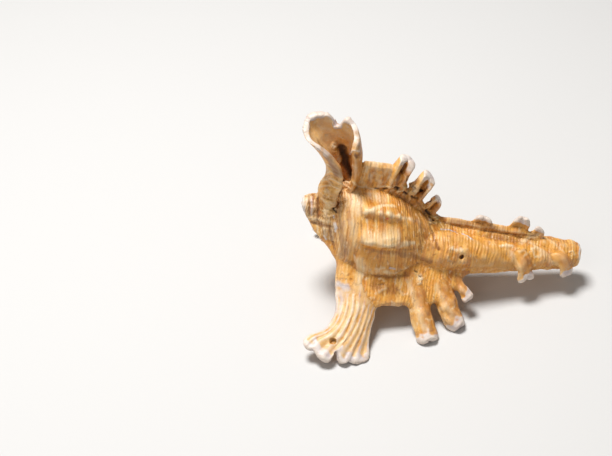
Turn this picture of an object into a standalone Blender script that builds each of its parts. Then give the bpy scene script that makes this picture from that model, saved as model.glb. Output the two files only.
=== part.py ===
"""A murex shell lying mouth down on its spines, at its real size.

The shell is one piece that grew round an axis. A point of it is given by three numbers: x, the distance
along the axis from the tip of the spire, in millimetres; r, the distance from the axis; and phi, the
clock angle round the axis seen from the spire, 0 at the top, 90 towards -Y and 180 at the bottom.
The shell grew towards larger phi. Three times in each turn it stopped and built a row of spines, a varix.
"""

import math

import bmesh
import bpy
from mathutils import Vector

MM = 0.001

# How the shell lies: the axis slopes down towards the canal, and stands this high at its middle. The
# middle lies this far along the shell from the tip of the spire and from the middle of the whole.
AXIS_SLOPE = 12.4
AXIS_HEIGHT = 28.8
AXIS_MIDDLE = 17.0
ORIGIN_SHIFT = (27.04, -8.26)

# Growth: the whole form gets larger by this factor in one turn. The coil is built of this many sections
# in a turn, each with this many points along its outline and along its inner edge.
GROWTH_PER_TURN = 1.8
TURNS = 3.0
LIP_PHI = 122.0
SECTIONS_PER_TURN = 90
SECTION_POINTS = 44
SECTION_INNER_POINTS = 8

# Outline of the last whorl and its canal in the plane of the lip, as (x, r)
WHORL_OUTLINE = (
    (8.0, 6.8), (10.8, 9.2), (12.2, 12.0), (13.4, 14.6), (16.0, 15.7), (20.0, 16.2), (25.0, 16.6),
    (30.0, 16.0), (35.0, 14.2), (40.0, 11.4), (45.0, 8.6), (50.0, 6.6), (60.0, 5.6), (75.0, 5.0),
    (86.0, 4.6), (89.0, 3.6),
)
CORE_RADIUS = 0.4

# The ball at the tip of the spire: its radius and how far its middle lies along the axis
APEX_BALL = 3.8
APEX_BALL_AT = 3.2

# Outline of the pillar along the axis and of the canal's wall, as (x, r)
SPINDLE_OUTLINE = (
    (0.2, 1.6), (0.8, 3.4), (2.2, 4.3), (6.0, 5.6), (9.0, 6.8), (12.0, 5.5), (20.0, 3.2), (35.0, 3.6),
    (44.0, 4.4), (52.0, 4.9), (70.0, 4.6), (86.0, 4.3), (89.4, 3.2),
)
SPINDLE_STATIONS = 60
SPINDLE_SIDES = 24

# Low ridges along the shell between two varices: clock angle on the last whorl and height. Each rises
# and falls over this many degrees, and runs from start to end along the shell, fading out there.
RIDGES = ((42.0, 1.6), (75.0, 1.8), (113.0, 1.4))
RIDGE_RISE = 11.0
RIDGE_FALL = 6.0
RIDGE_START = 15.0
RIDGE_END = 37.0
RIDGE_FADE_IN = 4.0
RIDGE_FADE_OUT = 10.0

# The mouth's hollow, as (x, r) in the plane of the lip, and how far it runs back in degrees
MOUTH = (
    (15.5, 11.0), (18.0, 12.4), (21.5, 13.9), (25.0, 14.7), (29.5, 14.2), (33.5, 12.8), (38.0, 10.0),
    (42.0, 7.0), (43.5, 5.2), (40.0, 4.2), (34.0, 4.4), (28.0, 5.6), (23.0, 7.4), (18.5, 9.4),
)
MOUTH_DEPTH = 225.0
MOUTH_AHEAD = 26.0
MOUTH_SECTIONS = 80
MOUTH_POINTS = 36

# Each varix stands in a half plane at phi and leans back by lean degrees at its reach
VARIX_A = {"phi": 2.0, "lean": 4.0, "root": 14.0, "reach": 40.0}
VARIX_B = {"phi": 122.0, "lean": 1.0, "root": 16.0, "reach": 49.0}
VARIX_C = {"phi": 222.0, "lean": 2.0, "root": 12.0, "reach": 36.0}

# The third varix repeats the second one's form at the size the shell had then, its short spines longer
C_START = 5.5
C_ALONG = 0.62
C_OUT = 0.765
C_SHORT_SPINES_OUT = 0.85

# Voxel size and the number of triangles that the finished solid keeps
VOXEL = 0.5
TRIANGLES = 9400

# Spines. left and right are their edges, as (x, r) from root to tip. Across, a spine is bent round to a
# groove: curl is how far its edges turn, in degrees, depth how deep the bend is and back how far its
# middle lies behind the varix, each at the root and at the tip. opens says how late the groove opens,
# and twist turns its root's opening sideways. A notch is (place across, depth, width).
SPINES_B = (
    {"left": ((12.8, 14.0), (12.8, 21.0), (14.1, 28.0), (13.4, 32.6), (11.3, 36.2), (7.6, 38.2), (5.4, 40.6)),
     "right": ((29.5, 15.0), (28.2, 23.0), (26.9, 29.2), (26.1, 33.5), (25.9, 37.6), (26.2, 41.0), (26.0, 44.2)),
     "tip": ((6.0, 43.0), (10.0, 45.4), (14.0, 46.8), (17.0, 46.5), (20.8, 46.0)),
     "curl": (70.0, 58.0), "depth": (4.0, 4.0), "back": (0.6, 0.0), "wall": 2.1,
     "notches": ((0.14, 4.4, 0.11), (-0.40, 1.2, 0.08), (0.56, 1.0, 0.08)), "ribs": 7},
    {"left": ((34.0, 18.0), (36.8, 26.0), (38.6, 30.9), (40.4, 34.9), (41.7, 36.1)),
     "right": ((42.6, 18.0), (43.6, 24.4), (45.5, 28.9), (46.8, 33.0), (46.4, 34.2)),
     "curl": (95.0, 85.0), "depth": (2.8, 2.8), "back": (1.2, 0.2), "wall": 1.9,
     "notches": ((0.0, 0.7, 0.25),), "ribs": 3},
    {"left": ((42.6, 17.0), (45.8, 24.4), (47.7, 27.4), (50.4, 29.5), (51.6, 30.3)),
     "right": ((49.0, 13.0), (50.6, 17.7), (52.4, 21.4), (54.3, 25.4), (54.9, 27.8)),
     "curl": (95.0, 85.0), "depth": (2.8, 2.8), "back": (1.2, -0.6), "wall": 1.9,
     "notches": ((0.1, 0.8, 0.25),), "ribs": 3},
    {"left": ((48.0, 13.0), (50.9, 18.0), (53.0, 20.4), (54.2, 21.1)),
     "right": ((50.6, 9.5), (52.2, 13.4), (54.2, 16.0), (56.4, 18.6)),
     "curl": (85.0, 75.0), "depth": (1.8, 1.5), "back": (1.0, 0.6), "wall": 1.7, "notches": (), "ribs": 0},
    {"left": ((65.5, 5.0), (68.6, 9.3), (70.0, 11.4), (71.0, 12.1)),
     "right": ((70.5, 2.5), (73.0, 5.4), (74.5, 7.8), (75.2, 10.0)),
     "curl": (85.0, 75.0), "depth": (1.8, 1.6), "back": (1.2, 0.8), "wall": 1.6,
     "notches": ((0.0, 0.8, 0.3),), "ribs": 0},
    {"left": ((78.0, 3.0), (81.2, 5.6), (83.0, 7.4), (84.8, 8.2)),
     "right": ((83.0, 0.8), (86.0, 2.9), (87.6, 4.8), (87.4, 6.6)),
     "curl": (85.0, 75.0), "depth": (1.8, 1.6), "back": (1.2, 0.8), "wall": 1.6,
     "notches": ((0.2, 0.8, 0.3),), "ribs": 0},
)
SPINES_A = (
    {"left": ((3.4, 9.0), (2.8, 15.5), (1.0, 21.6), (-2.2, 26.6), (-5.2, 29.2), (-6.2, 31.2)),
     "right": ((13.6, 10.0), (14.2, 18.0), (13.4, 24.6), (12.2, 28.4), (10.9, 31.7), (9.6, 33.8)),
     "tip": ((-5.2, 33.0), (-1.4, 34.0), (2.5, 34.4), (6.5, 35.0)),
     "curl": (158.0, 62.0), "opens": 5.0, "twist": 22.0, "depth": (4.0, 5.2), "back": (4.0, 2.6), "wall": 1.8,
     "notches": ((0.34, 3.0, 0.12),), "ribs": 0},
    {"left": ((21.4, 11.0), (22.6, 19.0), (24.0, 24.2), (24.9, 25.8)),
     "right": ((27.0, 10.0), (28.7, 17.0), (29.4, 21.5), (29.7, 24.0)),
     "curl": (150.0, 95.0), "opens": 2.0, "depth": (2.6, 2.4), "back": (2.6, 2.0), "wall": 1.5,
     "notches": (), "ribs": 0},
    {"left": ((28.6, 9.0), (30.6, 16.0), (32.1, 20.3), (33.4, 21.8)),
     "right": ((34.0, 7.0), (35.8, 13.5), (36.6, 16.5), (37.2, 19.0)),
     "curl": (150.0, 95.0), "opens": 2.0, "depth": (2.5, 2.3), "back": (2.4, 1.9), "wall": 1.5,
     "notches": (), "ribs": 0},
    {"left": ((35.6, 6.0), (37.2, 11.0), (38.3, 13.1), (39.0, 13.9)),
     "right": ((39.6, 4.5), (41.0, 9.0), (41.4, 11.0), (41.1, 12.3)),
     "curl": (115.0, 85.0), "depth": (1.8, 1.6), "back": (1.8, 1.4), "wall": 1.4,
     "notches": (), "ribs": 0},
    {"left": ((50.6, 3.5), (52.8, 7.3), (54.0, 9.0)),
     "right": ((57.6, 3.5), (58.6, 7.0), (57.8, 8.8)),
     "curl": (90.0, 75.0), "depth": (1.6, 1.4), "back": (1.2, 0.8), "wall": 1.4,
     "notches": (), "ribs": 0},
    {"left": ((62.0, 3.5), (64.4, 8.4), (66.1, 11.5)),
     "right": ((69.6, 3.5), (71.0, 8.0), (69.7, 11.1)),
     "curl": (90.0, 75.0), "depth": (1.9, 1.7), "back": (1.4, 1.0), "wall": 1.4,
     "notches": ((0.0, 0.5, 0.3),), "ribs": 0},
    {"left": ((70.2, 3.0), (71.9, 7.0), (72.9, 8.5)),
     "right": ((75.2, 2.5), (76.2, 6.0), (74.9, 8.0)),
     "curl": (90.0, 75.0), "depth": (1.4, 1.2), "back": (1.0, 0.8), "wall": 1.4,
     "notches": (), "ribs": 0},
)

# Webs between the spines, as the (x, r) of their free edge
WEB_B = (
    (1.2, 1.8), (5.2, 7.2), (10.4, 11.8), (12.7, 15.4), (14.4, 22.0), (20.0, 25.0), (27.0, 27.4), (30.5, 26.3),
    (35.2, 25.5), (38.0, 26.0), (43.8, 23.6), (46.0, 22.5), (50.6, 17.2), (52.2, 13.6), (55.0, 12.2),
    (60.4, 11.0), (66.0, 9.8), (70.0, 8.8), (76.0, 7.0), (82.0, 5.4), (88.5, 3.2),
)
WEB_A = (
    (2.0, 3.0), (3.8, 8.6), (7.0, 12.5), (12.6, 14.5), (14.4, 22.6), (19.2, 22.7), (22.4, 23.2), (26.0, 21.0),
    (30.0, 15.0), (34.0, 13.0), (38.0, 8.8), (42.5, 6.6), (47.0, 6.8), (57.0, 7.2), (70.0, 7.4), (76.0, 4.6),
)
# How far a web reaches behind and in front of its varix at the body, how thick its edge is, how far from
# the axis it starts, and how finely it is divided along the shell, in millimetres, and outwards
WEB_BACK = 3.6
WEB_FRONT = 1.2
WEB_EDGE = 1.1
WEB_ROOT = 1.0
WEB_STATION = 0.9
WEB_STEPS = 6

# How finely a spine's sheet is divided, the height of the ribs along it, where along the spine it takes
# the form of its tip, and how much thinner its wall is there
SPINE_ACROSS = 30
SPINE_ALONG = 22
RIB_HEIGHT = 0.3
TIP_FROM = 0.45
TIP_THINNER = 0.1

# The slit along the canal's underside
SLIT_PHI = 165.0
SLIT_WIDTH = 1.4
SLIT_START = 41.0
SLIT_END = 92.0
SLIT_FLOOR = 1.6
SLIT_TOP = 12.0
SLIT_STATIONS = 30

# The ground is cut from the shell's lowest points, which leaves the small flats that it rests on
GROUND_SIDE = 200.0
GROUND_DEPTH = 20.0
FLAT_WITHIN = 0.05


def unit(angle):
    """The axis, the direction away from it at this clock angle, and the direction in which phi grows."""
    slope = math.radians(AXIS_SLOPE)
    axis = Vector((math.cos(slope), 0.0, -math.sin(slope)))
    top = Vector((math.sin(slope), 0.0, math.cos(slope)))
    near = Vector((0.0, -1.0, 0.0))
    turn = math.radians(angle)
    out = math.cos(turn) * top + math.sin(turn) * near
    onward = math.cos(turn) * near - math.sin(turn) * top
    return axis, out, onward


def place(x, r, angle, onward_by=0.0):
    """World position in metres of a point given in the shell's own numbers."""
    axis, out, onward = unit(angle)
    apex = Vector((-AXIS_MIDDLE * axis.x, 0.0, AXIS_HEIGHT))
    point = apex + x * axis + r * out + onward_by * onward
    return (point - Vector((*ORIGIN_SHIFT, 0.0))) * MM


def smooth_step(value):
    value = min(1.0, max(0.0, value))
    return value * value * (3.0 - 2.0 * value)


def curve_point(points, t):
    """A point at t, 0 to 1, of a smooth curve through the points."""
    last = len(points) - 1
    at = min(max(t, 0.0), 1.0) * last
    i = min(int(at), last - 1)
    f = at - i
    a, b = points[max(i - 1, 0)], points[i]
    c, d = points[i + 1], points[min(i + 2, last)]
    result = []
    for p, q, s, v in zip(a, b, c, d):
        result.append(0.5 * (2 * q + (s - p) * f + (2 * p - 5 * q + 4 * s - v) * f * f
                             + (3 * q - p - 3 * s + v) * f ** 3))
    return tuple(result)


def height_at(points, x):
    """The height over x of straight lines through the points, flat outside them."""
    if x <= points[0][0]:
        return points[0][1]
    for (x0, y0), (x1, y1) in zip(points, points[1:]):
        if x <= x1:
            return y0 + (y1 - y0) * (x - x0) / (x1 - x0)
    return points[-1][1]


def loft(name, rings):
    """A closed mesh through rings of points, with its two ends capped."""
    mesh = bmesh.new()
    rows = [[mesh.verts.new(point) for point in ring] for ring in rings]
    count = len(rows[0])
    for row, following in zip(rows, rows[1:]):
        for i in range(count):
            j = (i + 1) % count
            mesh.faces.new((row[i], row[j], following[j], following[i]))
    mesh.faces.new(rows[0][::-1])
    mesh.faces.new(rows[-1])
    bmesh.ops.triangulate(mesh, faces=[f for f in mesh.faces if len(f.verts) > 4])
    bmesh.ops.recalc_face_normals(mesh, faces=mesh.faces)
    data = bpy.data.meshes.new(name)
    mesh.to_mesh(data)
    mesh.free()
    return bpy.data.objects.new(name, data)


def ridge_height(phi, x):
    """How far a point of a whorl stands out on the low ridges, for the last whorl's size."""
    along = smooth_step((x - RIDGE_START) / RIDGE_FADE_IN) * smooth_step((RIDGE_END - x) / RIDGE_FADE_OUT)
    height = 0.0
    for centre, size in RIDGES:
        off = (phi - centre + 180.0) % 360.0 - 180.0
        width = RIDGE_RISE if off < 0 else RIDGE_FALL
        height += size * math.exp(-((off / width) ** 2))
    return height * along


def whorls():
    """The coiled tube, as sections of the same form that grow in size."""
    rings = []
    first, last = WHORL_OUTLINE[0][0], WHORL_OUTLINE[-1][0]
    steps = int(TURNS * SECTIONS_PER_TURN)
    for step in range(steps + 1):
        back = -TURNS * 360.0 * (1.0 - step / steps)
        size = GROWTH_PER_TURN ** (back / 360.0)
        phi = LIP_PHI + back
        ring = []
        for i in range(SECTION_POINTS + 1):
            x, r = curve_point(WHORL_OUTLINE, i / SECTION_POINTS)
            ring.append(place(size * x, size * (r + ridge_height(phi, x)), phi))
        for i in range(SECTION_INNER_POINTS + 1):
            x = last + (first - last) * i / SECTION_INNER_POINTS
            ring.append(place(size * x, size * CORE_RADIUS, phi))
        rings.append(ring)
    return loft("whorls", rings)


def spindle():
    """The pillar along the axis and the wall round the canal, which close what the coil leaves open."""
    rings = []
    for i in range(SPINDLE_STATIONS + 1):
        x, r = curve_point(SPINDLE_OUTLINE, i / SPINDLE_STATIONS)
        rings.append([place(x, r, 360.0 * j / SPINDLE_SIDES) for j in range(SPINDLE_SIDES)])
    return loft("spindle", rings)


def apex_ball():
    bpy.ops.mesh.primitive_uv_sphere_add(segments=24, ring_count=12, radius=APEX_BALL * MM,
                                         location=place(APEX_BALL_AT, 0.0, 0.0))
    ball = bpy.context.active_object
    ball.data.transform(ball.matrix_world)
    ball.matrix_world.identity()
    bpy.context.collection.objects.unlink(ball)
    return ball


def lean_offset(varix, r):
    """How far a varix has leaned back, against the growth, at this distance from the axis."""
    part = min(max((r - varix["root"]) / (varix["reach"] - varix["root"]), 0.0), 1.3)
    return -r * math.sin(math.radians(varix["lean"] * part))


def between(pair, part):
    return pair[0] + (pair[1] - pair[0]) * part


def spine(name, varix, form):
    """A spine: a sheet bent round to a groove that opens in the direction of growth."""
    left, right = form["left"], form["right"]
    top = (left[-1],) + form.get("tip", ()) + (right[-1],)
    front, back = [], []
    for j in range(SPINE_ALONG + 1):
        v = j / SPINE_ALONG
        ease = smooth_step(v)
        curl = math.radians(between(form["curl"], v ** form.get("opens", 1.0)))
        twist = math.radians(form.get("twist", 0.0) * (1.0 - ease))
        widest = math.sin(min(curl, 0.5 * math.pi))
        depth = between(form["depth"], ease)
        behind = between(form["back"], ease)
        half_wall = 0.5 * form["wall"] * (1.0 - TIP_THINNER * v)
        low, high = curve_point(left, v), curve_point(right, v)
        reach = math.hypot(high[0] - low[0], high[1] - low[1])
        side = ((high[0] - low[0]) / reach, (high[1] - low[1]) / reach)
        half_width = 0.5 * reach - half_wall * widest
        middle = (0.5 * (low[0] + high[0]), 0.5 * (low[1] + high[1]))
        front_row, back_row = [], []
        for i in range(SPINE_ACROSS + 1):
            u = -1.0 + 2.0 * i / SPINE_ACROSS
            turn = u * curl + twist
            across = half_width * math.sin(turn) / widest
            share = 0.5 + 0.5 * math.sin(turn) / widest
            end = curve_point(top, share)
            pull = smooth_step((v - TIP_FROM) / (1.0 - TIP_FROM))
            extra = [end[n] - between((left[-1][n], right[-1][n]), share) for n in (0, 1)]
            cut = sum(deep * math.exp(-(((u - at) / wide) ** 2)) for at, deep, wide in form["notches"])
            x = middle[0] + across * side[0] + extra[0] * pull
            r = middle[1] + across * side[1] + extra[1] * pull - cut * v ** 4
            w = depth * (1.0 - math.cos(turn)) - behind + lean_offset(varix, r)
            if form["ribs"]:
                w -= RIB_HEIGHT * math.cos(math.pi * form["ribs"] * u) * smooth_step(2.0 * v)
            off_x, off_w = half_wall * math.sin(turn), -half_wall * math.cos(turn)
            back_row.append(place(x + off_x * side[0], r + off_x * side[1], varix["phi"], w + off_w))
            front_row.append(place(x - off_x * side[0], r - off_x * side[1], varix["phi"], w - off_w))
        front.append(front_row)
        back.append(back_row)
    return loft(name, [a + b[::-1] for a, b in zip(front, back)])


def web(name, varix, edge):
    """The thickened wall that joins the spines of a varix, thick at the body and thin at its edge."""
    rings = []
    first, last = edge[0][0], edge[-1][0]
    count = int((last - first) / WEB_STATION)
    for i in range(count + 1):
        x = first + (last - first) * i / count
        reach = height_at(edge, x)
        inner = min(WEB_ROOT, reach - 0.6)
        depth = max(reach - WEB_EDGE, inner + 0.3)
        front, back = [], []
        for j in range(WEB_STEPS + 1):
            r = inner + (depth - inner) * j / WEB_STEPS
            lean = lean_offset(varix, r)
            taper = (j / WEB_STEPS) ** 1.5
            front.append(place(x, r, varix["phi"], lean + WEB_FRONT))
            thick = (WEB_BACK + (WEB_EDGE - WEB_BACK) * taper) * min(1.0, reach / 8.0)
            back.append(place(x, r, varix["phi"], lean - thick))
        rim = place(x, reach, varix["phi"], lean_offset(varix, reach))
        rings.append(front + [rim] + back[::-1])
    return loft(name, rings)


def earlier(points, out):
    """The points of the lip's varix at the size and place of the third varix."""
    return tuple((C_START + x * C_ALONG, r * out) for x, r in points)


def varix_c():
    """The third varix, with the lip's spines at the earlier size."""
    pieces = [web("web_c", VARIX_C, earlier(WEB_B, C_OUT))]
    for number, form in enumerate(SPINES_B):
        smaller = dict(form)
        out = C_OUT if number == 0 else C_SHORT_SPINES_OUT
        for key in ("left", "right", "tip"):
            smaller[key] = earlier(form.get(key, ()), out)
        pieces.append(spine(f"spine_c{number + 1}", VARIX_C, smaller))
    return pieces


def mouth():
    """The hollow of the last whorl, open in front of the lip."""
    rings = []
    outline = MOUTH + (MOUTH[0],)
    for step in range(MOUTH_SECTIONS + 1):
        back = MOUTH_AHEAD - (MOUTH_AHEAD + MOUTH_DEPTH) * step / MOUTH_SECTIONS
        size = GROWTH_PER_TURN ** (back / 360.0)
        ring = []
        for i in range(MOUTH_POINTS):
            x, r = curve_point(outline, i / MOUTH_POINTS)
            ring.append(place(size * x, size * r, LIP_PHI + back))
        rings.append(ring)
    return loft("mouth_hollow", rings)


def canal_slit():
    """The narrow opening along the canal."""
    rings = []
    for i in range(SLIT_STATIONS + 1):
        x = SLIT_START + (SLIT_END - SLIT_START) * i / SLIT_STATIONS
        wide = 0.5 * SLIT_WIDTH * smooth_step(0.2 + 6.0 * i / SLIT_STATIONS)
        rings.append([place(x, SLIT_FLOOR, SLIT_PHI, -wide), place(x, SLIT_FLOOR, SLIT_PHI, wide),
                      place(x, SLIT_TOP, SLIT_PHI, 1.6 * wide), place(x, SLIT_TOP, SLIT_PHI, -1.6 * wide)])
    return loft("canal_slit", rings)


def ground():
    """What lies under the plane that the shell rests on."""
    bpy.ops.mesh.primitive_cube_add(size=1.0)
    block = bpy.context.active_object
    block.name = "ground"
    for vert in block.data.vertices:
        vert.co.x *= GROUND_SIDE * MM
        vert.co.y *= GROUND_SIDE * MM
        vert.co.z = (vert.co.z - 0.5) * GROUND_DEPTH * MM
    for collection in block.users_collection:
        collection.objects.unlink(block)
    return block


def joined(name, pieces):
    """One mesh that holds all the pieces, still overlapping."""
    mesh = bmesh.new()
    for piece in pieces:
        mesh.from_mesh(piece.data)
        bpy.data.objects.remove(piece)
    data = bpy.data.meshes.new(name)
    mesh.to_mesh(data)
    mesh.free()
    return bpy.data.objects.new(name, data)


def apply_modifiers(piece):
    graph = bpy.context.evaluated_depsgraph_get()
    data = bpy.data.meshes.new_from_object(piece.evaluated_get(graph))
    piece.modifiers.clear()
    piece.data = data


def keep_largest_island(piece):
    """Removes crumbs that fusing leaves inside or beside the shell."""
    mesh = bmesh.new()
    mesh.from_mesh(piece.data)
    left = set(mesh.verts)
    islands = []
    while left:
        todo = [left.pop()]
        island = list(todo)
        while todo:
            vert = todo.pop()
            for edge in vert.link_edges:
                other = edge.other_vert(vert)
                if other in left:
                    left.remove(other)
                    todo.append(other)
                    island.append(other)
        islands.append(island)
    islands.sort(key=len)
    for island in islands[:-1]:
        bmesh.ops.delete(mesh, geom=island, context="VERTS")
    mesh.to_mesh(piece.data)
    mesh.free()


def subtract(piece, cutter):
    cut = piece.modifiers.new(cutter.name, "BOOLEAN")
    cut.operation = "DIFFERENCE"
    cut.solver = "EXACT"
    cut.object = cutter


def shell_material():
    material = bpy.data.materials.new("shell")
    material.use_nodes = True
    surface = material.node_tree.nodes["Principled BSDF"]
    surface.inputs["Base Color"].default_value = (0.62, 0.40, 0.17, 1.0)
    surface.inputs["Roughness"].default_value = 0.5
    surface.inputs["Metallic"].default_value = 0.0
    return material


def main():
    for old in list(bpy.data.objects):
        bpy.data.objects.remove(old)
    shell_parts = bpy.data.collections.new("Murex shell")
    cutters = bpy.data.collections.new("Cutters")
    for collection in (shell_parts, cutters):
        bpy.context.scene.collection.children.link(collection)

    pieces = [whorls(), spindle(), apex_ball()]
    pieces.append(web("web_b", VARIX_B, WEB_B))
    pieces.append(web("web_a", VARIX_A, WEB_A))
    for number, form in enumerate(SPINES_B):
        pieces.append(spine(f"spine_b{number + 1}", VARIX_B, form))
    for number, form in enumerate(SPINES_A):
        pieces.append(spine(f"spine_a{number + 1}", VARIX_A, form))
    pieces.extend(varix_c())

    shell = joined("murex_shell", pieces)
    shell_parts.objects.link(shell)
    fuse = shell.modifiers.new("fuse", "REMESH")
    fuse.mode = "VOXEL"
    fuse.voxel_size = VOXEL * MM
    soften = shell.modifiers.new("soften", "SMOOTH")
    soften.factor = 0.5
    soften.iterations = 3
    apply_modifiers(shell)
    keep_largest_island(shell)

    for cutter in (mouth(), canal_slit(), ground()):
        cutters.objects.link(cutter)
        cutter.hide_render = True
        cutter.display_type = "WIRE"
        subtract(shell, cutter)
        apply_modifiers(shell)
    keep_largest_island(shell)
    fewer = shell.modifiers.new("fewer faces", "DECIMATE")
    shell.data.calc_loop_triangles()
    fewer.ratio = TRIANGLES / len(shell.data.loop_triangles)
    fewer.use_collapse_triangulate = True
    apply_modifiers(shell)
    for vert in shell.data.vertices:
        if vert.co.z < FLAT_WITHIN * MM:
            vert.co.z = 0.0

    shell.data.materials.clear()
    shell.data.materials.append(shell_material())
    shell.data.shade_smooth()


main()
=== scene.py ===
"""The looks of the murex shell: its surface, colours and light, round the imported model.

The shell is one piece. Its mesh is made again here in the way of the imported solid, much finer, and it
stands in for that solid. It has the threads, scars, crusts and holes that the solid leaves out, and some of
its spines, its ridges and the end of its spire follow the photograph more closely, by a few millimetres.
A point of the shell is given by x, the distance along the axis from the tip of the spire, in millimetres;
r, the distance from the axis; and phi, the clock angle round it, 0 at the top and 90 towards the camera.
"""

import math

import bmesh
import bpy
import numpy as np
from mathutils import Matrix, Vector
from mathutils.bvhtree import BVHTree
from mathutils.kdtree import KDTree


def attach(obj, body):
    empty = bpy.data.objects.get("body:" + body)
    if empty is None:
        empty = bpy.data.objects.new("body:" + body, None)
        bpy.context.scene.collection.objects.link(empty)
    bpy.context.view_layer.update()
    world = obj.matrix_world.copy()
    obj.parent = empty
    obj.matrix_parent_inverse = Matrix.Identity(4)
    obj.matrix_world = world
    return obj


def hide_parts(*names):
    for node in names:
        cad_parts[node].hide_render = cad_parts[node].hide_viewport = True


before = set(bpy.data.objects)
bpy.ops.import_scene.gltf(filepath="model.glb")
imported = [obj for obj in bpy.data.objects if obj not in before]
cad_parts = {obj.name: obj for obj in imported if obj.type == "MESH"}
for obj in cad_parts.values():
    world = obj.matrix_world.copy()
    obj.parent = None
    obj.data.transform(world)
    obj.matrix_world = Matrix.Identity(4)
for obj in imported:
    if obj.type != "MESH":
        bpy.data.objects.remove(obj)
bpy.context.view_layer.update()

MM = 0.001

# How the shell lies: how many degrees its axis sinks towards the canal, how high the tip of the spire is,
# how far from it along the axis the place is that the shift counts from, and that shift over the ground
AXIS_SLOPE = 12.4
AXIS_HEIGHT = 28.8
AXIS_MIDDLE = 17.0
ORIGIN_SHIFT = (27.04, -8.26)

# Growth: the whole form gets larger by this factor in one turn, and so many turns are made, up to the lip
GROWTH_PER_TURN = 1.8
TURNS = 3.0
LIP_PHI = 122.0

# Outline of the last whorl and its canal in the plane of the lip, as (x, r)
WHORL_OUTLINE = (
    (8.0, 6.8), (10.8, 9.2), (12.2, 12.0), (13.4, 14.6), (16.0, 15.7), (20.0, 16.2), (25.0, 16.6),
    (30.0, 16.0), (35.0, 14.2), (40.0, 11.4), (45.0, 8.6), (50.0, 6.6), (60.0, 5.6), (75.0, 5.0),
    (86.0, 4.6), (89.0, 3.6),
)
CORE_RADIUS = 0.4

# The round end of the spire: its radius, its middle along the axis, how far it is raised, how blunt it is
APEX_BALL = 3.4
APEX_BALL_AT = 3.2
APEX_BALL_RAISED = 2.4
BALL_BLUNT = 0.78

# The solid core that the whorls turn round, as (x, r)
SPINDLE_OUTLINE = (
    (1.4, 1.2), (2.2, 2.4), (3.4, 3.6), (6.0, 5.2), (9.0, 6.8), (12.0, 5.5), (20.0, 3.2), (35.0, 3.6),
    (44.0, 4.4), (52.0, 4.9), (70.0, 4.6), (86.0, 4.3), (89.4, 3.2),
)

# The canal's side towards the lip, as (x, how far its middle lies from the axis, radius)
CANAL_SIDE = (
    (38.0, 6.0, 6.0), (44.0, 6.6, 6.4), (50.0, 6.0, 6.0), (60.0, 5.0, 5.2), (70.0, 3.6, 4.6),
    (80.0, 2.2, 4.0), (87.0, 1.0, 3.7),
)
CANAL_SIDE_PHI = 106.0

# Low ridges along the shell between two varices: clock angle on the last whorl and height. They rise and
# fall over so many degrees, and fade out at both ends.
RIDGES = ((42.0, 2.1), (75.0, 2.3), (112.0, 1.7))
RIDGE_RISE = 11.0
RIDGE_FALL = 5.0
RIDGE_START = 16.5
RIDGE_END = 37.0
RIDGE_FADE_IN = 4.0
RIDGE_FADE_OUT = 10.0

# The mouth's hollow: its outline as (x, r), and how far it turns in and comes out, in degrees
MOUTH = (
    (15.5, 11.0), (18.0, 12.4), (21.5, 13.9), (25.0, 14.7), (29.5, 14.2), (33.5, 12.8), (38.0, 10.0),
    (42.0, 7.0), (43.5, 5.2), (40.0, 4.2), (34.0, 4.4), (28.0, 5.6), (23.0, 7.4), (18.5, 9.4),
)
MOUTH_DEPTH = 225.0
MOUTH_AHEAD = 26.0

# Each varix stands in a half plane at phi and leans back by lean degrees at its reach
VARIX_A = {"phi": 2.0, "lean": 4.0, "root": 14.0, "reach": 40.0}
VARIX_B = {"phi": 122.0, "lean": 1.0, "root": 16.0, "reach": 49.0}
VARIX_C = {"phi": 222.0, "lean": 2.0, "root": 12.0, "reach": 36.0}

# The hidden varix is a smaller copy of the lip's: where it starts, and its size along the axis and outwards
C_START = 5.5
C_ALONG = 0.62
C_OUT = 0.765
C_SHORT_SPINES_OUT = 0.85

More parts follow.
